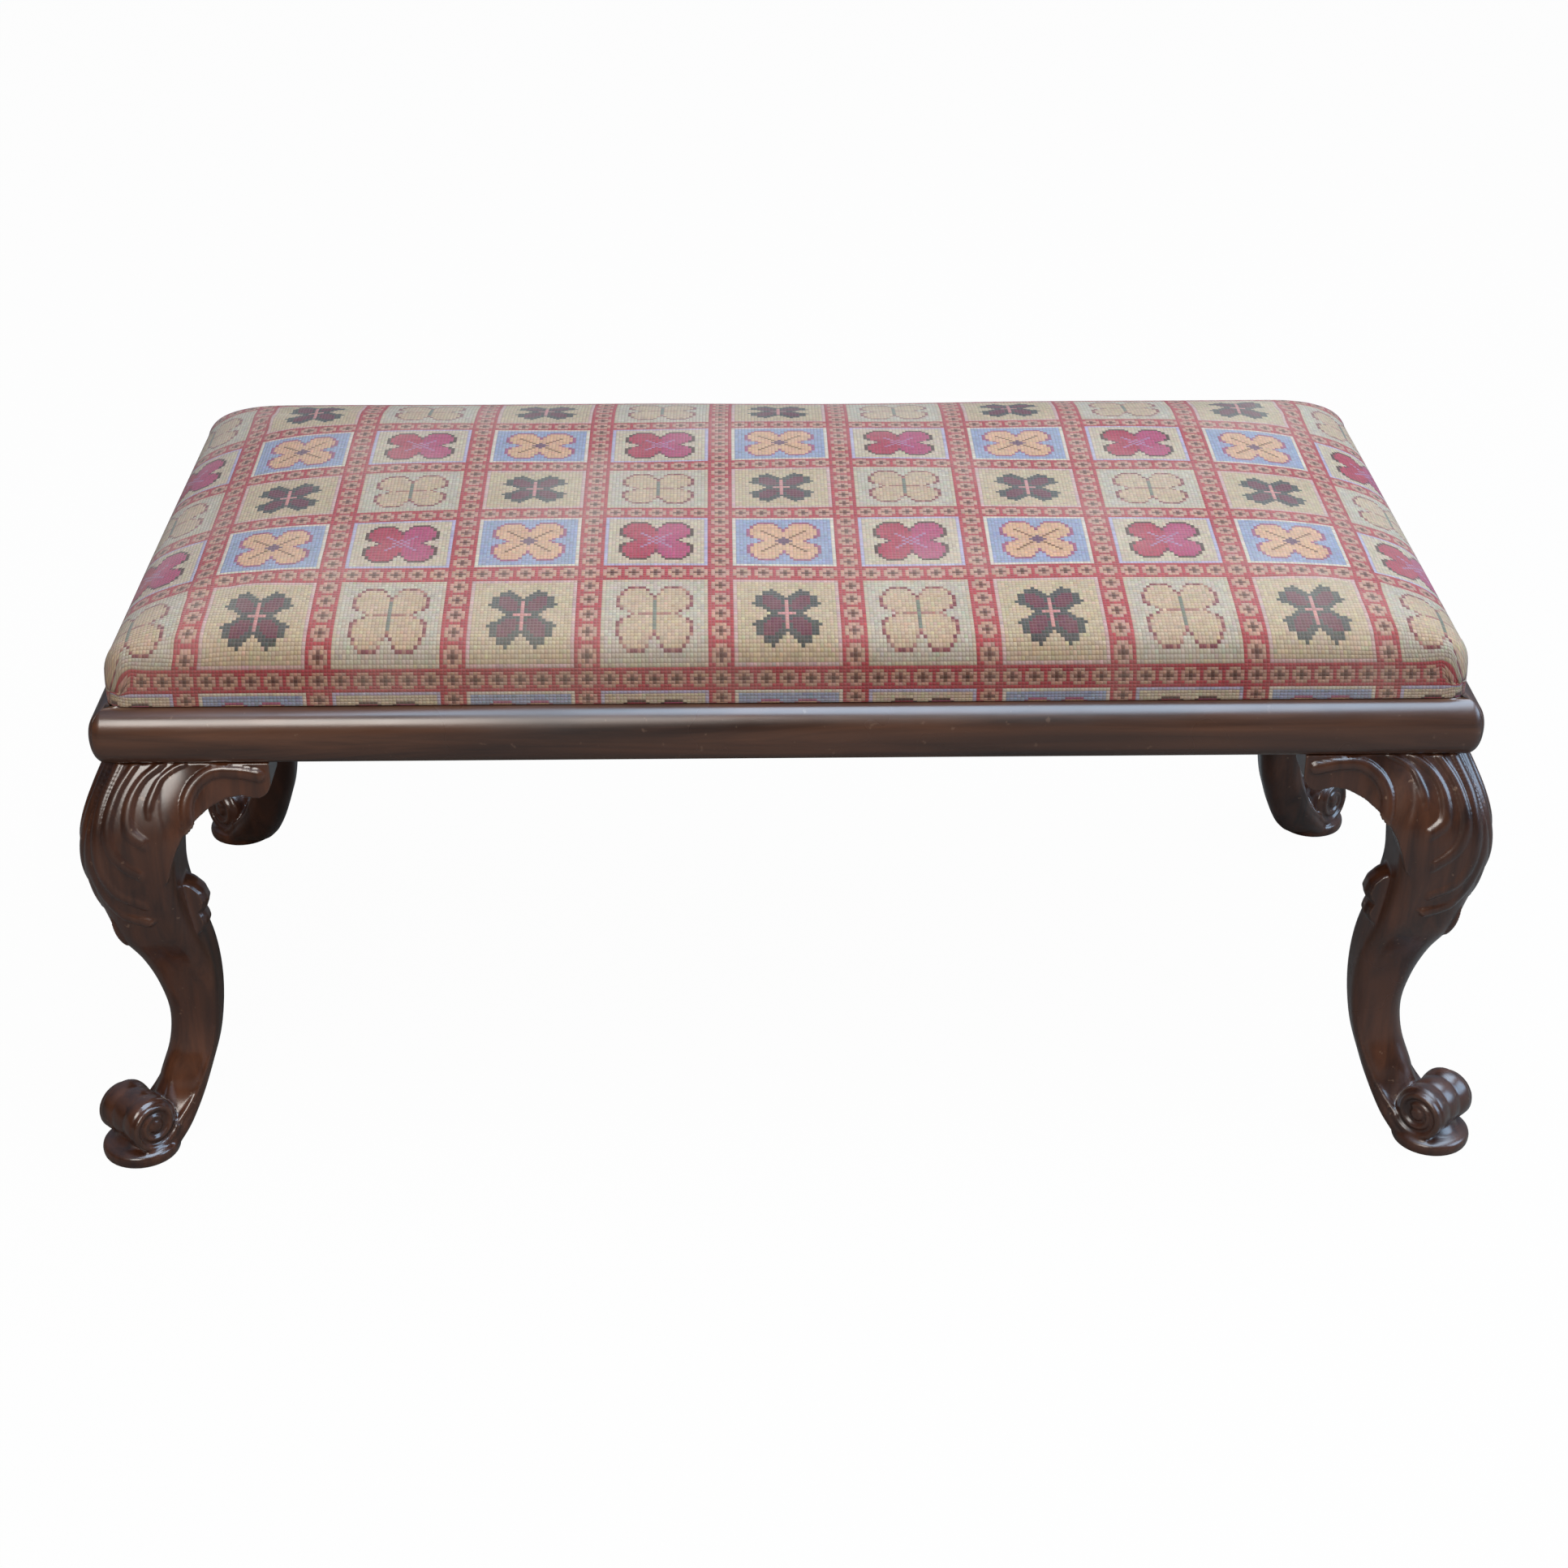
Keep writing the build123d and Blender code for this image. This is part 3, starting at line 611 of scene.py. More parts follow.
def stitch_lines(half, shift):
    """Stitch numbers across the cloth, and the edges between them with the cut ends at the lip."""
    first = math.ceil((-half - shift) / STITCH - 0.5)
    last = math.floor((half - shift) / STITCH + 0.5)
    numbers = np.arange(first, last + 1)
    edges = shift + (np.arange(first, last + 2) - 0.5) * STITCH
    return numbers, np.clip(edges, -half, half)


columns, edges_x = stitch_lines(CLOTH_HALF_X, 0.0)
rows, edges_y = stitch_lines(CLOTH_HALF_Y, CHART_SHIFT)
coarse_x = np.linspace(-CLOTH_HALF_X, CLOTH_HALF_X, len(edges_x) // COARSE_STEP)
coarse_y = np.linspace(-CLOTH_HALF_Y, CLOTH_HALF_Y, len(edges_y) // COARSE_STEP)
coarse = settle(crown_points(coarse_x, coarse_y))
place_x = (edges_x - coarse_x[0]) / (coarse_x[1] - coarse_x[0])
place_y = (edges_y - coarse_y[0]) / (coarse_y[1] - coarse_y[0])
fine = resample(resample(coarse, place_x, 0), place_y, 1)
print("stitches", len(columns), "by", len(rows), "and the top at %.1f mm" % fine[..., 2].max())

# %% [markdown]
# ## One face for each stitch
# The settled sheet is resampled to one face per stitch. The chart's wool colour goes on each face
# with a small random change in brightness, because hand-dyed wool is never even. A short skirt
# carries the cover down into the rebate.


# %% Cover mesh and colours
SKIRT_TUCK = 3
SKIRT_DROP = 7
SKIRT_CLEAR = 0.5
WOOL_SEED = 7
SHADE_SPREAD = 0.07
HUE_SPREAD = 0.04


def skirt_ring(columns, rows):
    index = np.arange(columns * rows).reshape(columns, rows)
    return np.concatenate([index[:-1, 0], index[-1, :-1], index[:0:-1, -1], index[0, :0:-1]])


def skirt_stitches(level):
    """Stitch numbers some rows out from the edge of the cover, in the order of the ring."""
    sides = (
        (columns, rows[0] - level), (columns[-1] + level, rows),
        (columns[::-1], rows[-1] + level), (columns[0] - level, rows[::-1]),
    )
    return np.concatenate([np.column_stack(np.broadcast_arrays(*side)) for side in sides])


def make_cover():
    points = fine.reshape(-1, 3)
    ring = skirt_ring(*fine.shape[:2])
    lip = points[ring]
    tucked = lip.copy()
    half_x, half_y = FRAME_LENGTH / 2 - SEAT_INSET, FRAME_DEPTH / 2 - SEAT_INSET
    tucked[:, 0] = np.clip(tucked[:, 0], -half_x, half_x)
    tucked[:, 1] = np.clip(tucked[:, 1], -half_y, half_y)
    tucked[:, :2] = np.stack(onto_outline(*tucked[:, :2].T, half_x, half_y, CORNER_RADIUS), axis=-1)
    bottom_edge = tucked.copy()
    bottom_edge[:, 2] = LEDGE + SKIRT_CLEAR
    levels = [lip + (tucked - lip) * share for share in np.linspace(0, 1, SKIRT_TUCK + 1)[1:]]
    levels += [tucked + (bottom_edge - tucked) * share for share in np.linspace(0, 1, SKIRT_DROP + 1)[1:]]
    first = len(points) + len(ring) * np.arange(len(levels))
    rings = [ring] + [start + np.arange(len(ring)) for start in first]
    faces = [grid_faces(*fine.shape[:2])]
    for upper, lower in zip(rings, rings[1:]):
        faces.append(np.stack([np.roll(upper, -1), upper, lower, np.roll(lower, -1)], axis=-1))
    points = np.concatenate([points, *levels])
    piece = new_mesh("needlepoint_seat_cover", points * MM, np.concatenate(faces))

    top = np.stack(np.meshgrid(columns, rows, indexing="ij"), axis=-1).reshape(-1, 2)
    cells = np.concatenate([top] + [skirt_stitches(level + 1) for level in range(len(levels))])
    names = chart(*cells.T)
    palette = np.array([WOOL[name] for name in WOOL_NAMES])
    palette[:, :3] *= WOOL_FADE
    colours = palette[[WOOL_NAMES.index(name) for name in names]]
    random = np.random.default_rng(WOOL_SEED)
    colours[:, :3] *= random.normal(1.0, SHADE_SPREAD, (len(colours), 1))
    colours[:, :3] *= random.normal(1.0, HUE_SPREAD, (len(colours), 3))
    stitches = piece.data.attributes.new("wool", "FLOAT_COLOR", "CORNER")
    stitches.data.foreach_set("color", np.repeat(np.clip(colours, 0, 1), 4, axis=0).ravel())

    layout = piece.data.uv_layers.new(name="stitches")
    corner = np.array([(0, 0), (1, 0), (1, 1), (0, 1)], dtype=float)
    layout.data.foreach_set("uv", (cells[:, None, :] + corner[None]).ravel())
    smooth(piece)
    return piece


cover = make_cover()
print("cover", len(cover.data.polygons), "faces")


# %% Wool material
STITCH_SHADE = srgb(120, 96, 86)
DUST = srgb(206, 190, 168)


def wool_material():
    material, tree, shader = new_material("needlepoint wool")
    colour = tree.nodes.new("ShaderNodeVertexColor")
    colour.layer_name = "wool"
    layout = tree.nodes.new("ShaderNodeUVMap")
    layout.uv_map = "stitches"
    split = tree.nodes.new("ShaderNodeSeparateXYZ")
    tree.links.new(layout.outputs["UV"], split.inputs["Vector"])
    across, up = Field(tree, split.outputs["X"]), Field(tree, split.outputs["Y"])
    hump = (across * math.pi).sin().abs() * (up * math.pi).sin().abs()
    slant = ((across - up) * math.pi).sin().abs()
    height = hump.power(0.6) * 0.8 + slant * 0.2
    vector = object_coords(tree, (1.0, 1.0, 1.0))
    fade = noise(tree, vector, 9.0, 4.0)
    fuzz = noise(tree, vector, 900.0, 2.0)
    dyed = Field(tree, colour.outputs["Color"])
    shaded = blend_colour(tree, height.ramp(0.0, 0.7), STITCH_SHADE, dyed)
    mixed = blend_colour(tree, 0.5, dyed, shaded)
    mixed = blend_colour(tree, fade.ramp(0.4, 0.75) * 0.16, mixed, DUST)
    put(tree, shader.inputs["Base Color"], mixed)
    shader.inputs["Roughness"].default_value = 0.93
    shader.inputs["Sheen Weight"].default_value = 0.12
    shader.inputs["Specular IOR Level"].default_value = 0.2
    bump(tree, shader, height + fuzz * 0.25, 0.6, 0.0009)
    return material


cover.data.materials.append(wool_material())
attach(cover, SEAT_BODY)
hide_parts("needlepoint_cover")

# %% [markdown]
# ## Bottom cloth
# The black cloth under the seat is tacked round its edge and sags a little in the middle.

# %% Bottom cloth mesh
CLOTH_X, CLOTH_Y = 0.9036, 0.4076
CLOTH_TOP = 0.3568
CLOTH_SAG = 0.0015
BOTTOM_LINES_X, BOTTOM_LINES_Y = 91, 41


def make_bottom_cloth():
    x = np.linspace(-CLOTH_X / 2, CLOTH_X / 2, BOTTOM_LINES_X)
    y = np.linspace(-CLOTH_Y / 2, CLOTH_Y / 2, BOTTOM_LINES_Y)
    x, y = np.meshgrid(x, y, indexing="ij")
    sag = np.cos(math.pi * x / CLOTH_X) * np.cos(math.pi * y / CLOTH_Y)
    points = np.stack([x, y, CLOTH_TOP - CLOTH_SAG * sag], axis=-1).reshape(-1, 3)
    return new_mesh("bottom_cloth_sheet", points, grid_faces(BOTTOM_LINES_X, BOTTOM_LINES_Y))


bottom = make_bottom_cloth()
smooth(bottom)
bottom.data.materials.append(black_cloth)
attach(bottom, SEAT_BODY)
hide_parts("bottom_cloth")

# %% [markdown]
# ## Rails with a worn bullnose
# The moulding runs round the corners, and old corners are never sharp. Each rail is swept from its
# profile along its own side and half of both corner turns, up to the mitre.

# %% Skin over rings
def tube_from_rings(rings):
    """Points and faces of a closed skin over rings of equal length."""
    count = len(rings[0])
    points = np.concatenate(rings)
    faces = []
    for level in range(len(rings) - 1):
        for step in range(count):
            after = (step + 1) % count
            base, above = level * count, (level + 1) * count
            faces.append((base + step, base + after, above + after, above + step))
    faces.append(tuple(range(count - 1, -1, -1)))
    faces.append(tuple(range(len(points) - count, len(points))))
    return points, faces


# %% Rail sweep
NOSE = [
    # inset from the outermost line, height above the leg
    (12.5, 0.0), (8.5, 1.2), (5.0, 3.8), (2.4, 7.8), (0.8, 13.0), (0.1, 19.0), (0.2, 25.0), (1.2, 30.6),
    (3.2, 35.6), (6.2, 39.4), (9.8, 41.9), (13.8, 43.0), (18.4, 43.0), (19.0, 42.4), (19.0, 24.0),
    (19.4, 23.9), (61.6, 23.9), (62.0, 23.4), (62.0, 0.4), (61.6, 0.0),
]
NOSE_POINTS = 12
NOSE_STEPS = 45
RAIL_CORNER = 11.0
TURN_STEPS = 7
RUN_STEPS = 60


def rail_line(inset, run, across):
    """One line of the moulding at an inset, from mitre to mitre along the front."""
    half_run, half_across = run / 2 - inset, across / 2 - inset
    radius = max(RAIL_CORNER - inset, 0.0)
    angle = np.radians(np.linspace(45, 90, TURN_STEPS))
    turn_x = -half_run + radius * (1 - np.cos(angle))
    turn_y = -half_across + radius * (1 - np.sin(angle))
    straight = np.linspace(turn_x[-1], -turn_x[-1], RUN_STEPS)[1:-1]
    x = np.concatenate([turn_x, straight, -turn_x[::-1]])
    y = np.concatenate([turn_y, np.full(len(straight), turn_y[-1]), turn_y[::-1]])
    return np.stack([x, y], axis=-1)


def make_rail(name, run, across, turn, finish):
    profile = curve_through(NOSE)
    lines = [rail_line(inset, run, across) for inset, _ in profile]
    rings = []
    for step in range(len(lines[0])):
        ring = [(*line[step], LEG_HEIGHT + rise) for line, (_, rise) in zip(lines, profile)]
        rings.append(np.array(ring))
    points, faces = tube_from_rings(rings)
    piece = new_mesh(f"{name}_moulding", points * MM, faces)
    piece.data.transform(Matrix.Rotation(math.radians(turn), 4, "Z"))
    smooth(piece)
    piece.data.materials.append(finish)
    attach(piece, FRAME_BODY)
    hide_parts(name)
    return piece


def curve_through(profile):
    """Extra points on the rounded nose, and the plain corners of the back as they are."""
    nose = np.array(profile[:NOSE_POINTS])
    rounded = resample(nose, np.linspace(0, len(nose) - 1, NOSE_STEPS), 0)
    return [tuple(point) for point in rounded] + profile[NOSE_POINTS:]


RAIL_RUNS = {
    "front_rail": (FRAME_LENGTH, FRAME_DEPTH, 0, rail_x_wood),
    "right_rail": (FRAME_DEPTH, FRAME_LENGTH, 90, rail_y_wood),
    "back_rail": (FRAME_LENGTH, FRAME_DEPTH, 180, rail_x_wood),
    "left_rail": (FRAME_DEPTH, FRAME_LENGTH, 270, rail_y_wood),
}
for name, settings in RAIL_RUNS.items():
    make_rail(name, *settings)
print("swept", len(RAIL_RUNS), "rails")

# %% [markdown]
# ## Carved legs
# One corner is carved in its own frame: u and v run inward from the frame's outer corner along the
# two rails. The leg is the same on both sides of its diagonal, so one carving turned by quarter
# turns serves all four corners. Closed shapes are laid over each other and fused by a voxel remesh.

# %% Leg sections
STATIONS = np.array([
    # height, outer inset, inner inset, outer radius, side radius
    (332.0, 9.0, 55.0, 20.0, 8.0),
    (318.0, 1.5, 55.0, 21.0, 9.0),
    (302.0, -6.0, 55.0, 22.0, 10.0),
    (280.0, -13.0, 55.0, 24.0, 7.0),
    (258.0, -15.0, 54.0, 24.0, 11.0),
    (235.0, -12.0, 53.0, 23.0, 14.0),
    (212.0, -6.0, 55.5, 21.0, 14.0),
    (185.0, 1.5, 60.5, 18.0, 13.0),
    (160.0, 13.5, 65.0, 15.0, 12.0),
    (130.0, 23.0, 67.0, 13.0, 12.0),
    (100.0, 27.0, 65.5, 13.0, 12.0),
    (75.0, 24.0, 61.5, 12.0, 11.0),
    (55.0, 17.0, 55.5, 12.0, 11.0),
    (40.0, 12.0, 50.5, 12.0, 11.0),
    (28.0, 5.0, 45.5, 12.0, 11.0),
    (16.5, -3.0, 39.5, 12.0, 11.0),
    (7.0, -10.0, 32.5, 12.0, 11.0),
])[::-1]
INNER_RADIUS = 13.0


def station(heights):
    """Cubic sections at any heights."""
    table = STATIONS
    slopes = np.gradient(table[:, 1:], table[:, 0], axis=0)
    index = np.clip(np.searchsorted(table[:, 0], heights) - 1, 0, len(table) - 2)
    span = table[index + 1, 0] - table[index, 0]
    share = ((heights - table[index, 0]) / span)[:, None]
    start, end = table[index, 1:], table[index + 1, 1:]
    lift_start, lift_end = slopes[index] * span[:, None], slopes[index + 1] * span[:, None]
    cube = 2 * start - 2 * end + lift_start + lift_end
    square = 3 * end - 3 * start - 2 * lift_start - lift_end
    return ((cube * share + square) * share + lift_start) * share + start


def shaft():
    heights = np.arange(STATIONS[0, 0], STATIONS[-1, 0] + 0.1, 1.5)
    rings = []
    for height, (low, high, outer, side) in zip(heights, station(heights)):
        turns = (
            (low, low, outer, 180),
            (high, low, side, 270),
            (high, high, INNER_RADIUS, 0),
            (low, high, side, 90),
        )
        ring = []
        for x, y, radius, start in turns:
            centre_x = x + radius * (1 if x == low else -1)
            centre_y = y + radius * (1 if y == low else -1)
            angle = np.radians(start + np.linspace(0, 90, 9))
            ring.append(np.stack([centre_x + radius * np.cos(angle),
                                  centre_y + radius * np.sin(angle)], axis=-1))
        ring = np.concatenate(ring)
        rings.append(np.column_stack([ring, np.full(len(ring), height)]))
    return tube_from_rings(rings)


def sweep(path, radii, sides=10):
    """A round bar along a path, with its ends closed."""
    path = np.asarray(path, dtype=float)
    radii = np.broadcast_to(radii, len(path))
    tangent = np.gradient(path, axis=0)
    tangent /= np.linalg.norm(tangent, axis=1, keepdims=True)
    guide = np.array([0.31, -0.72, 0.62])
    rings = []
    for centre, direction, radius in zip(path, tangent, radii):
        first = np.cross(direction, guide)
        first /= np.linalg.norm(first)
        second = np.cross(direction, first)
        angle = np.linspace(0, 2 * np.pi, sides, endpoint=False)
        rings.append(centre + radius * (np.outer(np.cos(angle), first) + np.outer(np.sin(angle), second)))
    return tube_from_rings(rings)


def prism(outline, front, back):
    """A slab over an outline in u and z, between two depths."""
    outline = np.asarray(outline, dtype=float)
    near, far = (np.insert(outline, 1, depth, axis=1) for depth in (front, back))
    return tube_from_rings([near, far])


def swapped(shape):
    """The same shape on the other side of the diagonal."""
    points, faces = shape
    return points[:, [1, 0, 2]], [tuple(reversed(face)) for face in faces]


def curve(points, count):
    """An even smooth curve through a few points."""
    points = np.asarray(points, dtype=float)
    return resample(points, np.linspace(0, len(points) - 1, count), 0)


# %% Ears, spur and scroll toe
EAR_ARCH = np.array([
    # distance along the rail, height of the lower edge
    (40, 236), (50, 246), (54, 260), (57.5, 270), (63, 280), (71, 289.5), (82, 298), (94, 303.5),
    (105, 305.5), (112, 303.5), (118, 303), (123, 306), (126.5, 312), (128, 320),
])
EAR_BACK = 41.0
EAR_END = 6.0
SPUR_OUTLINE = [
    (44, 234), (54, 230), (62, 226), (68, 220), (70.5, 213), (69, 207), (66, 203.5), (68.5, 199),
    (69.5, 194), (66.5, 188), (60, 182), (44, 174),
]
SPUR_LAYERS = ((0.0, 18.0, 28.0), (1.2, 15.0, 31.0), (3.2, 12.5, 33.0))
EAR_LINES = 24
EAR_STEP = 1.4
EAR_PROUD = 0.8
EAR_EASE_FROM, EAR_EASE_OVER = 48.0, 55.0
PAD_INSET = 2.0
PAD_SIDES = 72
PAD_PROFILE = (
    # radius, height
    (27, 0), (28.8, 1.2), (29.5, 4), (29.5, 7), (28.6, 9.6), (26, 11.2), (20, 13), (15, 18),
)
ROLL_HEIGHT = 32.0
ROLL_RADIUS = 20.0
ROLL_HALF = 22.0
VOLUTE_RADIUS = 21.5
VOLUTE_TIGHTENS = 14.5
VOLUTE_START, VOLUTE_TURN = 205.0, 650.0
VOLUTE_STEPS = 150
EYE_RADIUS = 6.2
HEEL_TOP, HEEL_BOTTOM, HEEL_STEPS = 92.0, 21.0, 40
OUTWARD = np.array([-1, -1, 0]) / math.sqrt(2)
AXLE = np.array([-1, 1, 0]) / math.sqrt(2)


def ear():
    """A bracket whose front flows out of the knee and flattens toward its tip."""
    rings = []
    for u in np.arange(EAR_ARCH[0, 0], EAR_ARCH[-1, 0] + 0.1, EAR_STEP):
        heights = np.linspace(np.interp(u, *EAR_ARCH.T), STATIONS[-1, 0], EAR_LINES)
        share = np.clip((u - EAR_EASE_FROM) / EAR_EASE_OVER, 0, 1)
        share = share * share * (3 - 2 * share)
        front = station(heights)[:, 0] * (1 - share) + EAR_END * share + EAR_PROUD
        along = np.full(EAR_LINES, u)
        near = np.column_stack([along, front, heights])
        far = np.column_stack([along, np.full(EAR_LINES, EAR_BACK), heights[::-1]])
        rings.append(np.concatenate([near, far]))
    return tube_from_rings(rings)


def toe_point(out, up, along):
    base = np.array([PAD_INSET, PAD_INSET, 0.0])
    up = np.asarray(up, dtype=float)
    out, along = np.broadcast_to(out, up.shape), np.broadcast_to(along, up.shape)
    return base + np.outer(out, OUTWARD) + np.outer(along, AXLE) + np.outer(up, (0, 0, 1))


def roll():
    rings = []
    angle = np.linspace(0, 2 * np.pi, 64, endpoint=False)
    for along in np.linspace(-ROLL_HALF, ROLL_HALF, 61):
        share = along / ROLL_HALF
        ribs = 1.3 * abs(math.cos(1.5 * math.pi * share)) ** 0.7
        waist = 1.6 * share**2
        edge = 3.2 * max(0.0, abs(share) - 0.86) / 0.14
        radius = ROLL_RADIUS - 1.2 + ribs + waist - edge
        rings.append(toe_point(radius * np.cos(angle), ROLL_HEIGHT + radius * np.sin(angle), along))
    return tube_from_rings(rings)


def volute(side):
    share = np.linspace(0, 1, VOLUTE_STEPS)
    turn = np.radians(np.linspace(VOLUTE_START, VOLUTE_START + VOLUTE_TURN, VOLUTE_STEPS))
    radius = VOLUTE_RADIUS - VOLUTE_TIGHTENS * share**0.9
    along = side * (ROLL_HALF + 0.2)
    path = toe_point(radius * np.cos(turn), ROLL_HEIGHT + radius * np.sin(turn), along)
    return sweep(path, 2.9 - 0.8 * share)


def eye(side):
    share = np.linspace(0, 1, 9)
    along = side * (ROLL_HALF - 3 + 6.4 * np.sin(share * np.pi / 2))
    path = toe_point(0.0, np.full(9, ROLL_HEIGHT), along)
    return sweep(path, EYE_RADIUS * np.sqrt(np.clip(1.02 - share**2, 0.02, 1)), 24)


def pad():
    angle = np.linspace(0, 2 * np.pi, PAD_SIDES, endpoint=False)
    rings = []
    for radius, height in PAD_PROFILE:
        u, v = PAD_INSET + radius * np.cos(angle), PAD_INSET + radius * np.sin(angle)
        rings.append(np.column_stack([u, v, np.full(PAD_SIDES, height)]))
    return tube_from_rings(rings)


def heel_ridge(side):
    """The raised edge of the shin that runs down into the volute."""
    heights = np.linspace(HEEL_TOP, HEEL_BOTTOM, HEEL_STEPS)
    low, high, _, radius = station(heights).T
    share = np.linspace(0, 1, HEEL_STEPS)
    inset = radius * 0.32
    near = np.column_stack([high - inset, low + inset, heights])
    turn = math.radians(VOLUTE_START)
    rise = np.array([ROLL_HEIGHT + VOLUTE_RADIUS * math.sin(turn)])
    start = toe_point(VOLUTE_RADIUS * math.cos(turn), rise, -ROLL_HALF + 0.6)[0]
    path = near + (start - near[-1]) * (share**3)[:, None]
    bar = sweep(path, 1.2 + 1.5 * share)
    return bar if side < 0 else swapped(bar)


def corner_shapes():
    bracket = ear()
    shapes = [shaft(), bracket, swapped(bracket), roll(), pad()]
    for back_by, front, back in SPUR_LAYERS:
        spur = prism([(u - back_by, z) for u, z in SPUR_OUTLINE], front, back)
        shapes += [spur, swapped(spur)]
    for side in (-1, 1):
        shapes += [volute(side), eye(side), heel_ridge(side)]
    return shapes


# %% [markdown]
# ## Fuse and carve
# The remesh gives an even skin that the carving can push in and out. Each vein of the acanthus leaf
# is a stroke drawn on the knee: `reach` is measured round from the outer corner, so the same
# strokes serve the front face and the side face.

# %% Carving strokes
STROKES = [
    # points as inset u and height z on the knee, half width at start and end, rise
    ([(66, 331), (57, 327), (49, 321), (44, 313), (41, 305), (42, 298)], 3.6, 5.4, 4.0),
    ([(50, 331), (37, 322), (28.5, 310), (25, 297), (25.5, 287), (30.5, 281), (38, 276)], 4.6, 6.2, 4.6),
    ([(31, 331), (19, 315), (11.5, 297), (9.5, 283), (13, 269), (20, 259.5), (32, 250)], 4.6, 6.2, 4.6),
    ([(19, 331), (7, 308), (1.5, 288), (0, 271), (2.5, 252), (12, 234), (29, 223)], 4.4, 6.0, 4.4),
    (
        [(12, 331), (-1, 303), (-6.5, 281), (-7.5, 262), (-4, 243), (3, 226), (13, 214), (34, 206)],
        4.0, 5.6, 4.0,
    ),
]
SPINE = [(6, 331), (-3, 303), (-10, 280), (-12, 258), (-9, 235), (-3, 212), (4, 190), (8, 176)]
ARCH = [
    (122, 322), (108, 325), (92, 325), (78, 319), (67, 310.5), (60, 301), (56, 288), (54, 270),
    (53, 250), (52, 236),
]
LEAF_EDGE = np.array([
    # height, inset of the leaf's edge
    (331, 75), (312, 50), (300, 43), (277, 39.5), (250, 34), (224, 32.5), (208, 37), (194, 25),
    (184, 16), (176, 9),
])[::-1]
LEAF_BOTTOM = 173.0
LEAF_BACK = 45.0
CARVED_ABOVE = 165.0
GROUND_DEPTH = 2.8
TIP_RISE, TIP_HEIGHT, TIP_HALF = 2.6, 194.0, 22.0
STROKE_STEPS = 60
VOXEL = 1.15


def stroke_height(reach, height, points, start, end, rise):
    """Height of a rounded vein along a stroke at every point."""
    path = curve(points, STROKE_STEPS)
    share = np.linspace(0, 1, STROKE_STEPS)
    half = start + (end - start) * share
    best = np.zeros(len(reach))
    outer = station(path[:, 1])[:, 0]
    for (u, z), width, low in zip(path, half, outer):
        gap = np.hypot(reach - (u - low), height - z) / width
        best = np.maximum(best, rise * np.sqrt(np.clip(1 - gap**2, 0, None)))
    return best


def relief(points):
    """How far every point is carved in or stands out, in millimetres."""
    u, v, z = points.T
    low = station(np.clip(z, STATIONS[0, 0], STATIONS[-1, 0]))[:, 0]
    reach = np.maximum(u, v) - low
    edge = np.interp(z, LEAF_EDGE[:, 0], LEAF_EDGE[:, 1]) - low
    leaf = np.clip((edge - reach) / 4.0, 0, 1) * np.clip((z - LEAF_BOTTOM) / 5, 0, 1)
    leaf *= np.clip((LEAF_BACK - np.minimum(u, v) + low) / 8, 0, 1)
    veins = np.zeros(len(u))
    near = np.flatnonzero(z > CARVED_ABOVE)
    for stroke in STROKES:
        veins[near] = np.maximum(veins[near], stroke_height(reach[near], z[near], *stroke))
    spine = stroke_height(reach[near], z[near], SPINE, 3.4, 3.4, 3.2)
    veins[near] = np.maximum(veins[near], spine)
    tip = TIP_RISE * np.clip(1 - ((z - TIP_HEIGHT) / TIP_HALF) ** 2, 0, 1)
    depth = leaf * (veins + tip - GROUND_DEPTH)
    arch = stroke_height(np.maximum(u, v)[near], z[near], ARCH, 5.5, 4.0, 3.0)
    return depth, arch, near


# %% Fuse and carve one corner
def join_shapes(shapes):
    points, faces, total = [], [], 0
    for shape_points, shape_faces in shapes:
        points.append(shape_points)
        faces += [tuple(index + total for index in face) for face in shape_faces]
        total += len(shape_points)
    return np.concatenate(points), faces


def fuse(shapes, voxel):
    points, faces = join_shapes(shapes)
    piece = new_mesh("carved_corner", points, faces)
    shell = bmesh.new()
    shell.from_mesh(piece.data)
    bmesh.ops.triangulate(shell, faces=shell.faces[:])
    shell.to_mesh(piece.data)
    shell.free()
    remesh = piece.modifiers.new("fuse", "REMESH")
    remesh.mode = "VOXEL"
    remesh.voxel_size = voxel
    soften = piece.modifiers.new("soften", "SMOOTH")
    soften.factor = 0.5
    soften.iterations = 3
    fused = bpy.data.meshes.new_from_object(piece.evaluated_get(bpy.context.evaluated_depsgraph_get()))
    bpy.data.objects.remove(piece)
    return fused


def carve(mesh):
    points = np.empty(len(mesh.vertices) * 3)
    normals = np.empty(len(mesh.vertices) * 3)
    mesh.vertices.foreach_get("co", points)
    mesh.vertices.foreach_get("normal", normals)
    points, normals = points.reshape(-1, 3), normals.reshape(-1, 3)
    depth, arch, near = relief(points)
    outward = np.clip(normals[:, 0] * -1, 0, 1) + np.clip(normals[:, 1] * -1, 0, 1)
    depth *= np.clip(outward * 2.2, 0, 1)
    depth[near] = np.maximum(depth[near], arch * np.clip(outward[near] * 2.2 - 0.6, 0, 1))
    points = points + normals * depth[:, None]
    points[:, 2] = np.clip(points[:, 2], 0, LEG_HEIGHT + 0.6)
    mesh.vertices.foreach_set("co", points.ravel())
    mesh.update()
    return mesh


carved = carve(fuse(corner_shapes(), VOXEL))
print("carved corner", len(carved.vertices), "points")

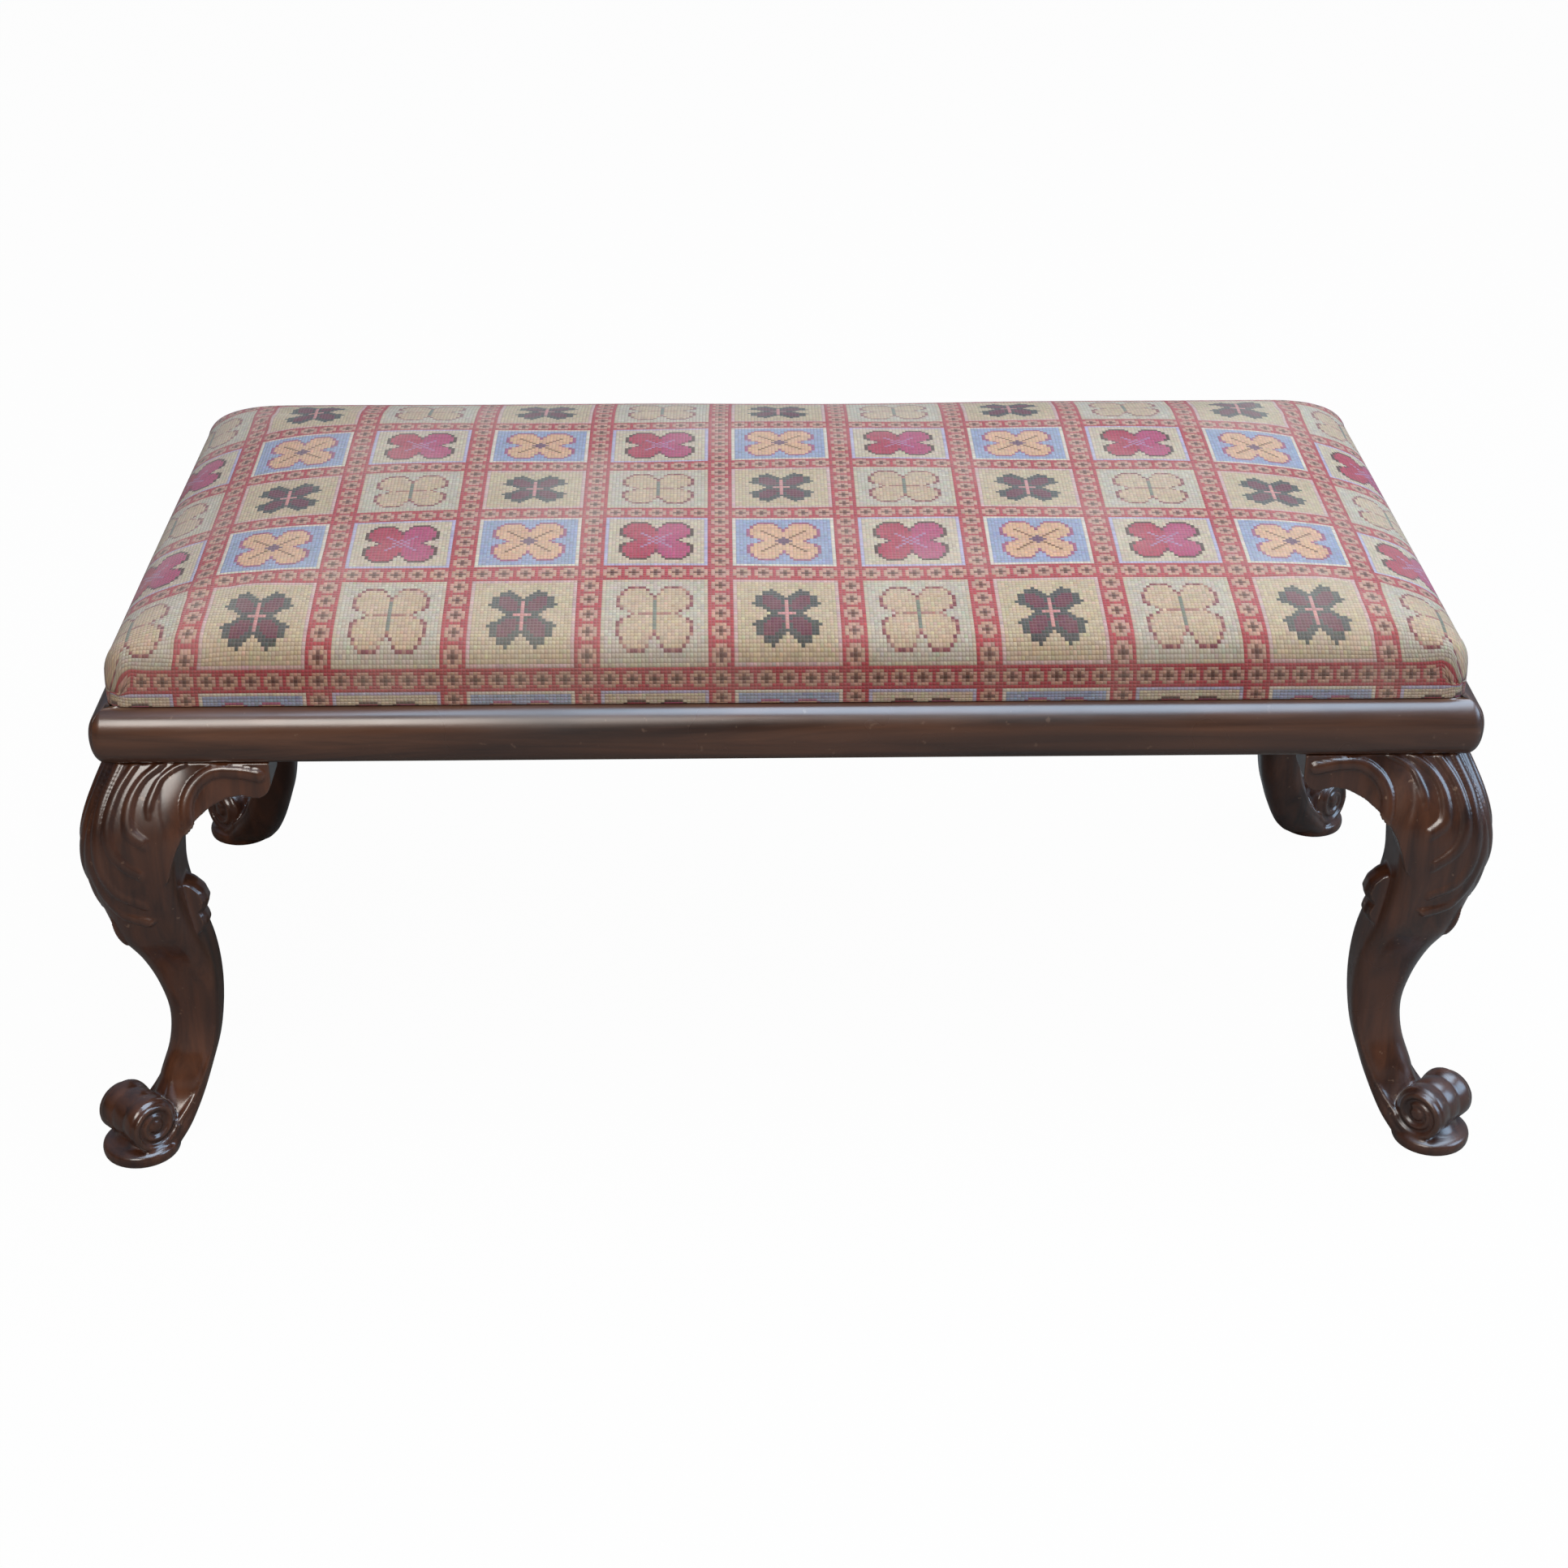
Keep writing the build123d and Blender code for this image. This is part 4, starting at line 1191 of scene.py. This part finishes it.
# %% Four corners
CORNERS = {
    "front_left": (-1, -1, 0),
    "front_right": (1, -1, 90),
    "back_right": (1, 1, 180),
    "back_left": (-1, 1, 270),
}
EARS = {
    "front_left": ("front_left_front_ear", "front_left_side_ear"),
    "front_right": ("front_right_side_ear", "front_right_front_ear"),
    "back_right": ("back_right_back_ear", "back_right_side_ear"),
    "back_left": ("back_left_side_ear", "back_left_back_ear"),
}
for corner, (side_x, side_y, turn) in CORNERS.items():
    mesh = carved.copy()
    place = Matrix.Translation((side_x * FRAME_LENGTH / 2 * MM, side_y * FRAME_DEPTH / 2 * MM, 0))
    mesh.transform(place @ Matrix.Rotation(math.radians(turn), 4, "Z") @ Matrix.Scale(MM, 4))
    leg = bpy.data.objects.new(f"carved_{corner}_leg", mesh)
    bpy.context.scene.collection.objects.link(leg)
    mesh.materials.append(leg_wood)
    smooth(leg)
    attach(leg, FRAME_BODY)
    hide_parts(f"{corner}_leg", *EARS[corner])
print("carved four corners")

# %% [markdown]
# ## Camera, floor and light
# The camera stands where the photograph was taken from. Broad cool lamps overhead and at the right
# give the blue sheen along the top of the bullnose, and a weak warm one fills the front. The floor
# glows for the camera alone, so the page is white and the legs still reflect a dark floor.

# %% Camera
CAMERA_AT = Vector((-34.9, -1994.9, 1252.9)) * MM
YAW, PITCH, ROLL = (math.radians(angle) for angle in (1.025, 28.266, 0.062))
LENS_OVER_WIDTH = 3388.9 / 1932
look = Vector((math.sin(YAW) * math.cos(PITCH), math.cos(YAW) * math.cos(PITCH), -math.sin(PITCH)))
right = Vector((math.cos(YAW), -math.sin(YAW), 0))
above = right.cross(look)
right, above = (
    right * math.cos(ROLL) + above * math.sin(ROLL),
    above * math.cos(ROLL) - right * math.sin(ROLL),
)
camera_data = bpy.data.cameras.new("photo camera")
camera_data.sensor_width = 36.0
camera_data.lens = 36.0 * LENS_OVER_WIDTH
camera = bpy.data.objects.new("photo camera", camera_data)
bpy.context.scene.collection.objects.link(camera)
turn = Matrix((right, above, -look)).transposed().to_4x4()
camera.matrix_world = Matrix.Translation(CAMERA_AT) @ turn
scene = bpy.context.scene
scene.camera = camera
scene.render.resolution_x = scene.render.resolution_y = 1932


# %% Floor, world and lamps
def floor_material():
    material, tree, shader = new_material("pale floor")
    shader.inputs["Base Color"].default_value = (0.14, 0.12, 0.1, 1.0)
    shader.inputs["Roughness"].default_value = 0.9
    glow = tree.nodes.new("ShaderNodeEmission")
    glow.inputs["Color"].default_value = (1.0, 1.0, 1.0, 1.0)
    glow.inputs["Strength"].default_value = 1.05
    rays = tree.nodes.new("ShaderNodeLightPath")
    mix = tree.nodes.new("ShaderNodeMixShader")
    put(tree, mix.inputs["Fac"], Field(tree, rays.outputs["Is Camera Ray"]) * 0.93)
    tree.links.new(shader.outputs["BSDF"], mix.inputs[1])
    tree.links.new(glow.outputs["Emission"], mix.inputs[2])
    tree.links.new(mix.outputs["Shader"], tree.nodes["Material Output"].inputs["Surface"])
    return material


floor = new_mesh(
    "floor", np.array([(-9, -9, 0), (9, -9, 0), (9, 9, 0), (-9, 9, 0)], dtype=float), [(0, 1, 2, 3)]
)
floor.data.materials.append(floor_material())


def studio_world():
    world = bpy.data.worlds.new("studio")
    world.use_nodes = True
    tree = world.node_tree
    room = tree.nodes["Background"]
    coords = tree.nodes.new("ShaderNodeTexCoord")
    split = tree.nodes.new("ShaderNodeSeparateXYZ")
    tree.links.new(coords.outputs["Generated"], split.inputs["Vector"])
    height = Field(tree, split.outputs["Z"])
    side = Field(tree, split.outputs["X"])
    back = Field(tree, split.outputs["Y"])
    bright = (height * 0.75 + back * 0.3 + side * 0.25).ramp(-0.1, 0.9)
    colour = blend_colour(tree, bright, srgb(92, 80, 72), srgb(206, 226, 255))
    put(tree, room.inputs["Color"], colour)
    room.inputs["Strength"].default_value = 0.42
    page = tree.nodes.new("ShaderNodeBackground")
    page.inputs["Color"].default_value = (1.0, 1.0, 1.0, 1.0)
    rays = tree.nodes.new("ShaderNodeLightPath")
    mix = tree.nodes.new("ShaderNodeMixShader")
    tree.links.new(rays.outputs["Is Camera Ray"], mix.inputs["Fac"])
    tree.links.new(room.outputs["Background"], mix.inputs[1])
    tree.links.new(page.outputs["Background"], mix.inputs[2])
    tree.links.new(mix.outputs["Shader"], tree.nodes["World Output"].inputs["Surface"])
    return world


scene.world = studio_world()
scene.view_settings.view_transform = "Standard"


def lamp(name, at, target, size, power, colour):
    data = bpy.data.lights.new(name, "AREA")
    data.shape = "RECTANGLE"
    data.size, data.size_y = size
    data.energy = power
    data.color = colour
    lit = bpy.data.objects.new(name, data)
    bpy.context.scene.collection.objects.link(lit)
    aim = (Vector(target) - Vector(at)).to_track_quat("-Z", "Y")
    lit.matrix_world = Matrix.Translation(at) @ aim.to_matrix().to_4x4()
    return lit


SKY = (0.6, 0.79, 1.0)
DEEP_SKY = (0.5, 0.73, 1.0)
WARM = (1.0, 0.96, 0.9)
lamp("overhead window", (0.6, -0.25, 2.3), (0.3, -0.1, 0.4), (2.8, 1.7), 100.0, SKY)
lamp("right window", (2.4, -0.7, 1.3), (0.4, -0.1, 0.3), (1.4, 1.4), 34.0, DEEP_SKY)
lamp("front fill", (-0.9, -2.6, 1.9), (0, 0, 0.3), (1.4, 1.4), 45.0, WARM)
print("camera, floor and lamps are set")
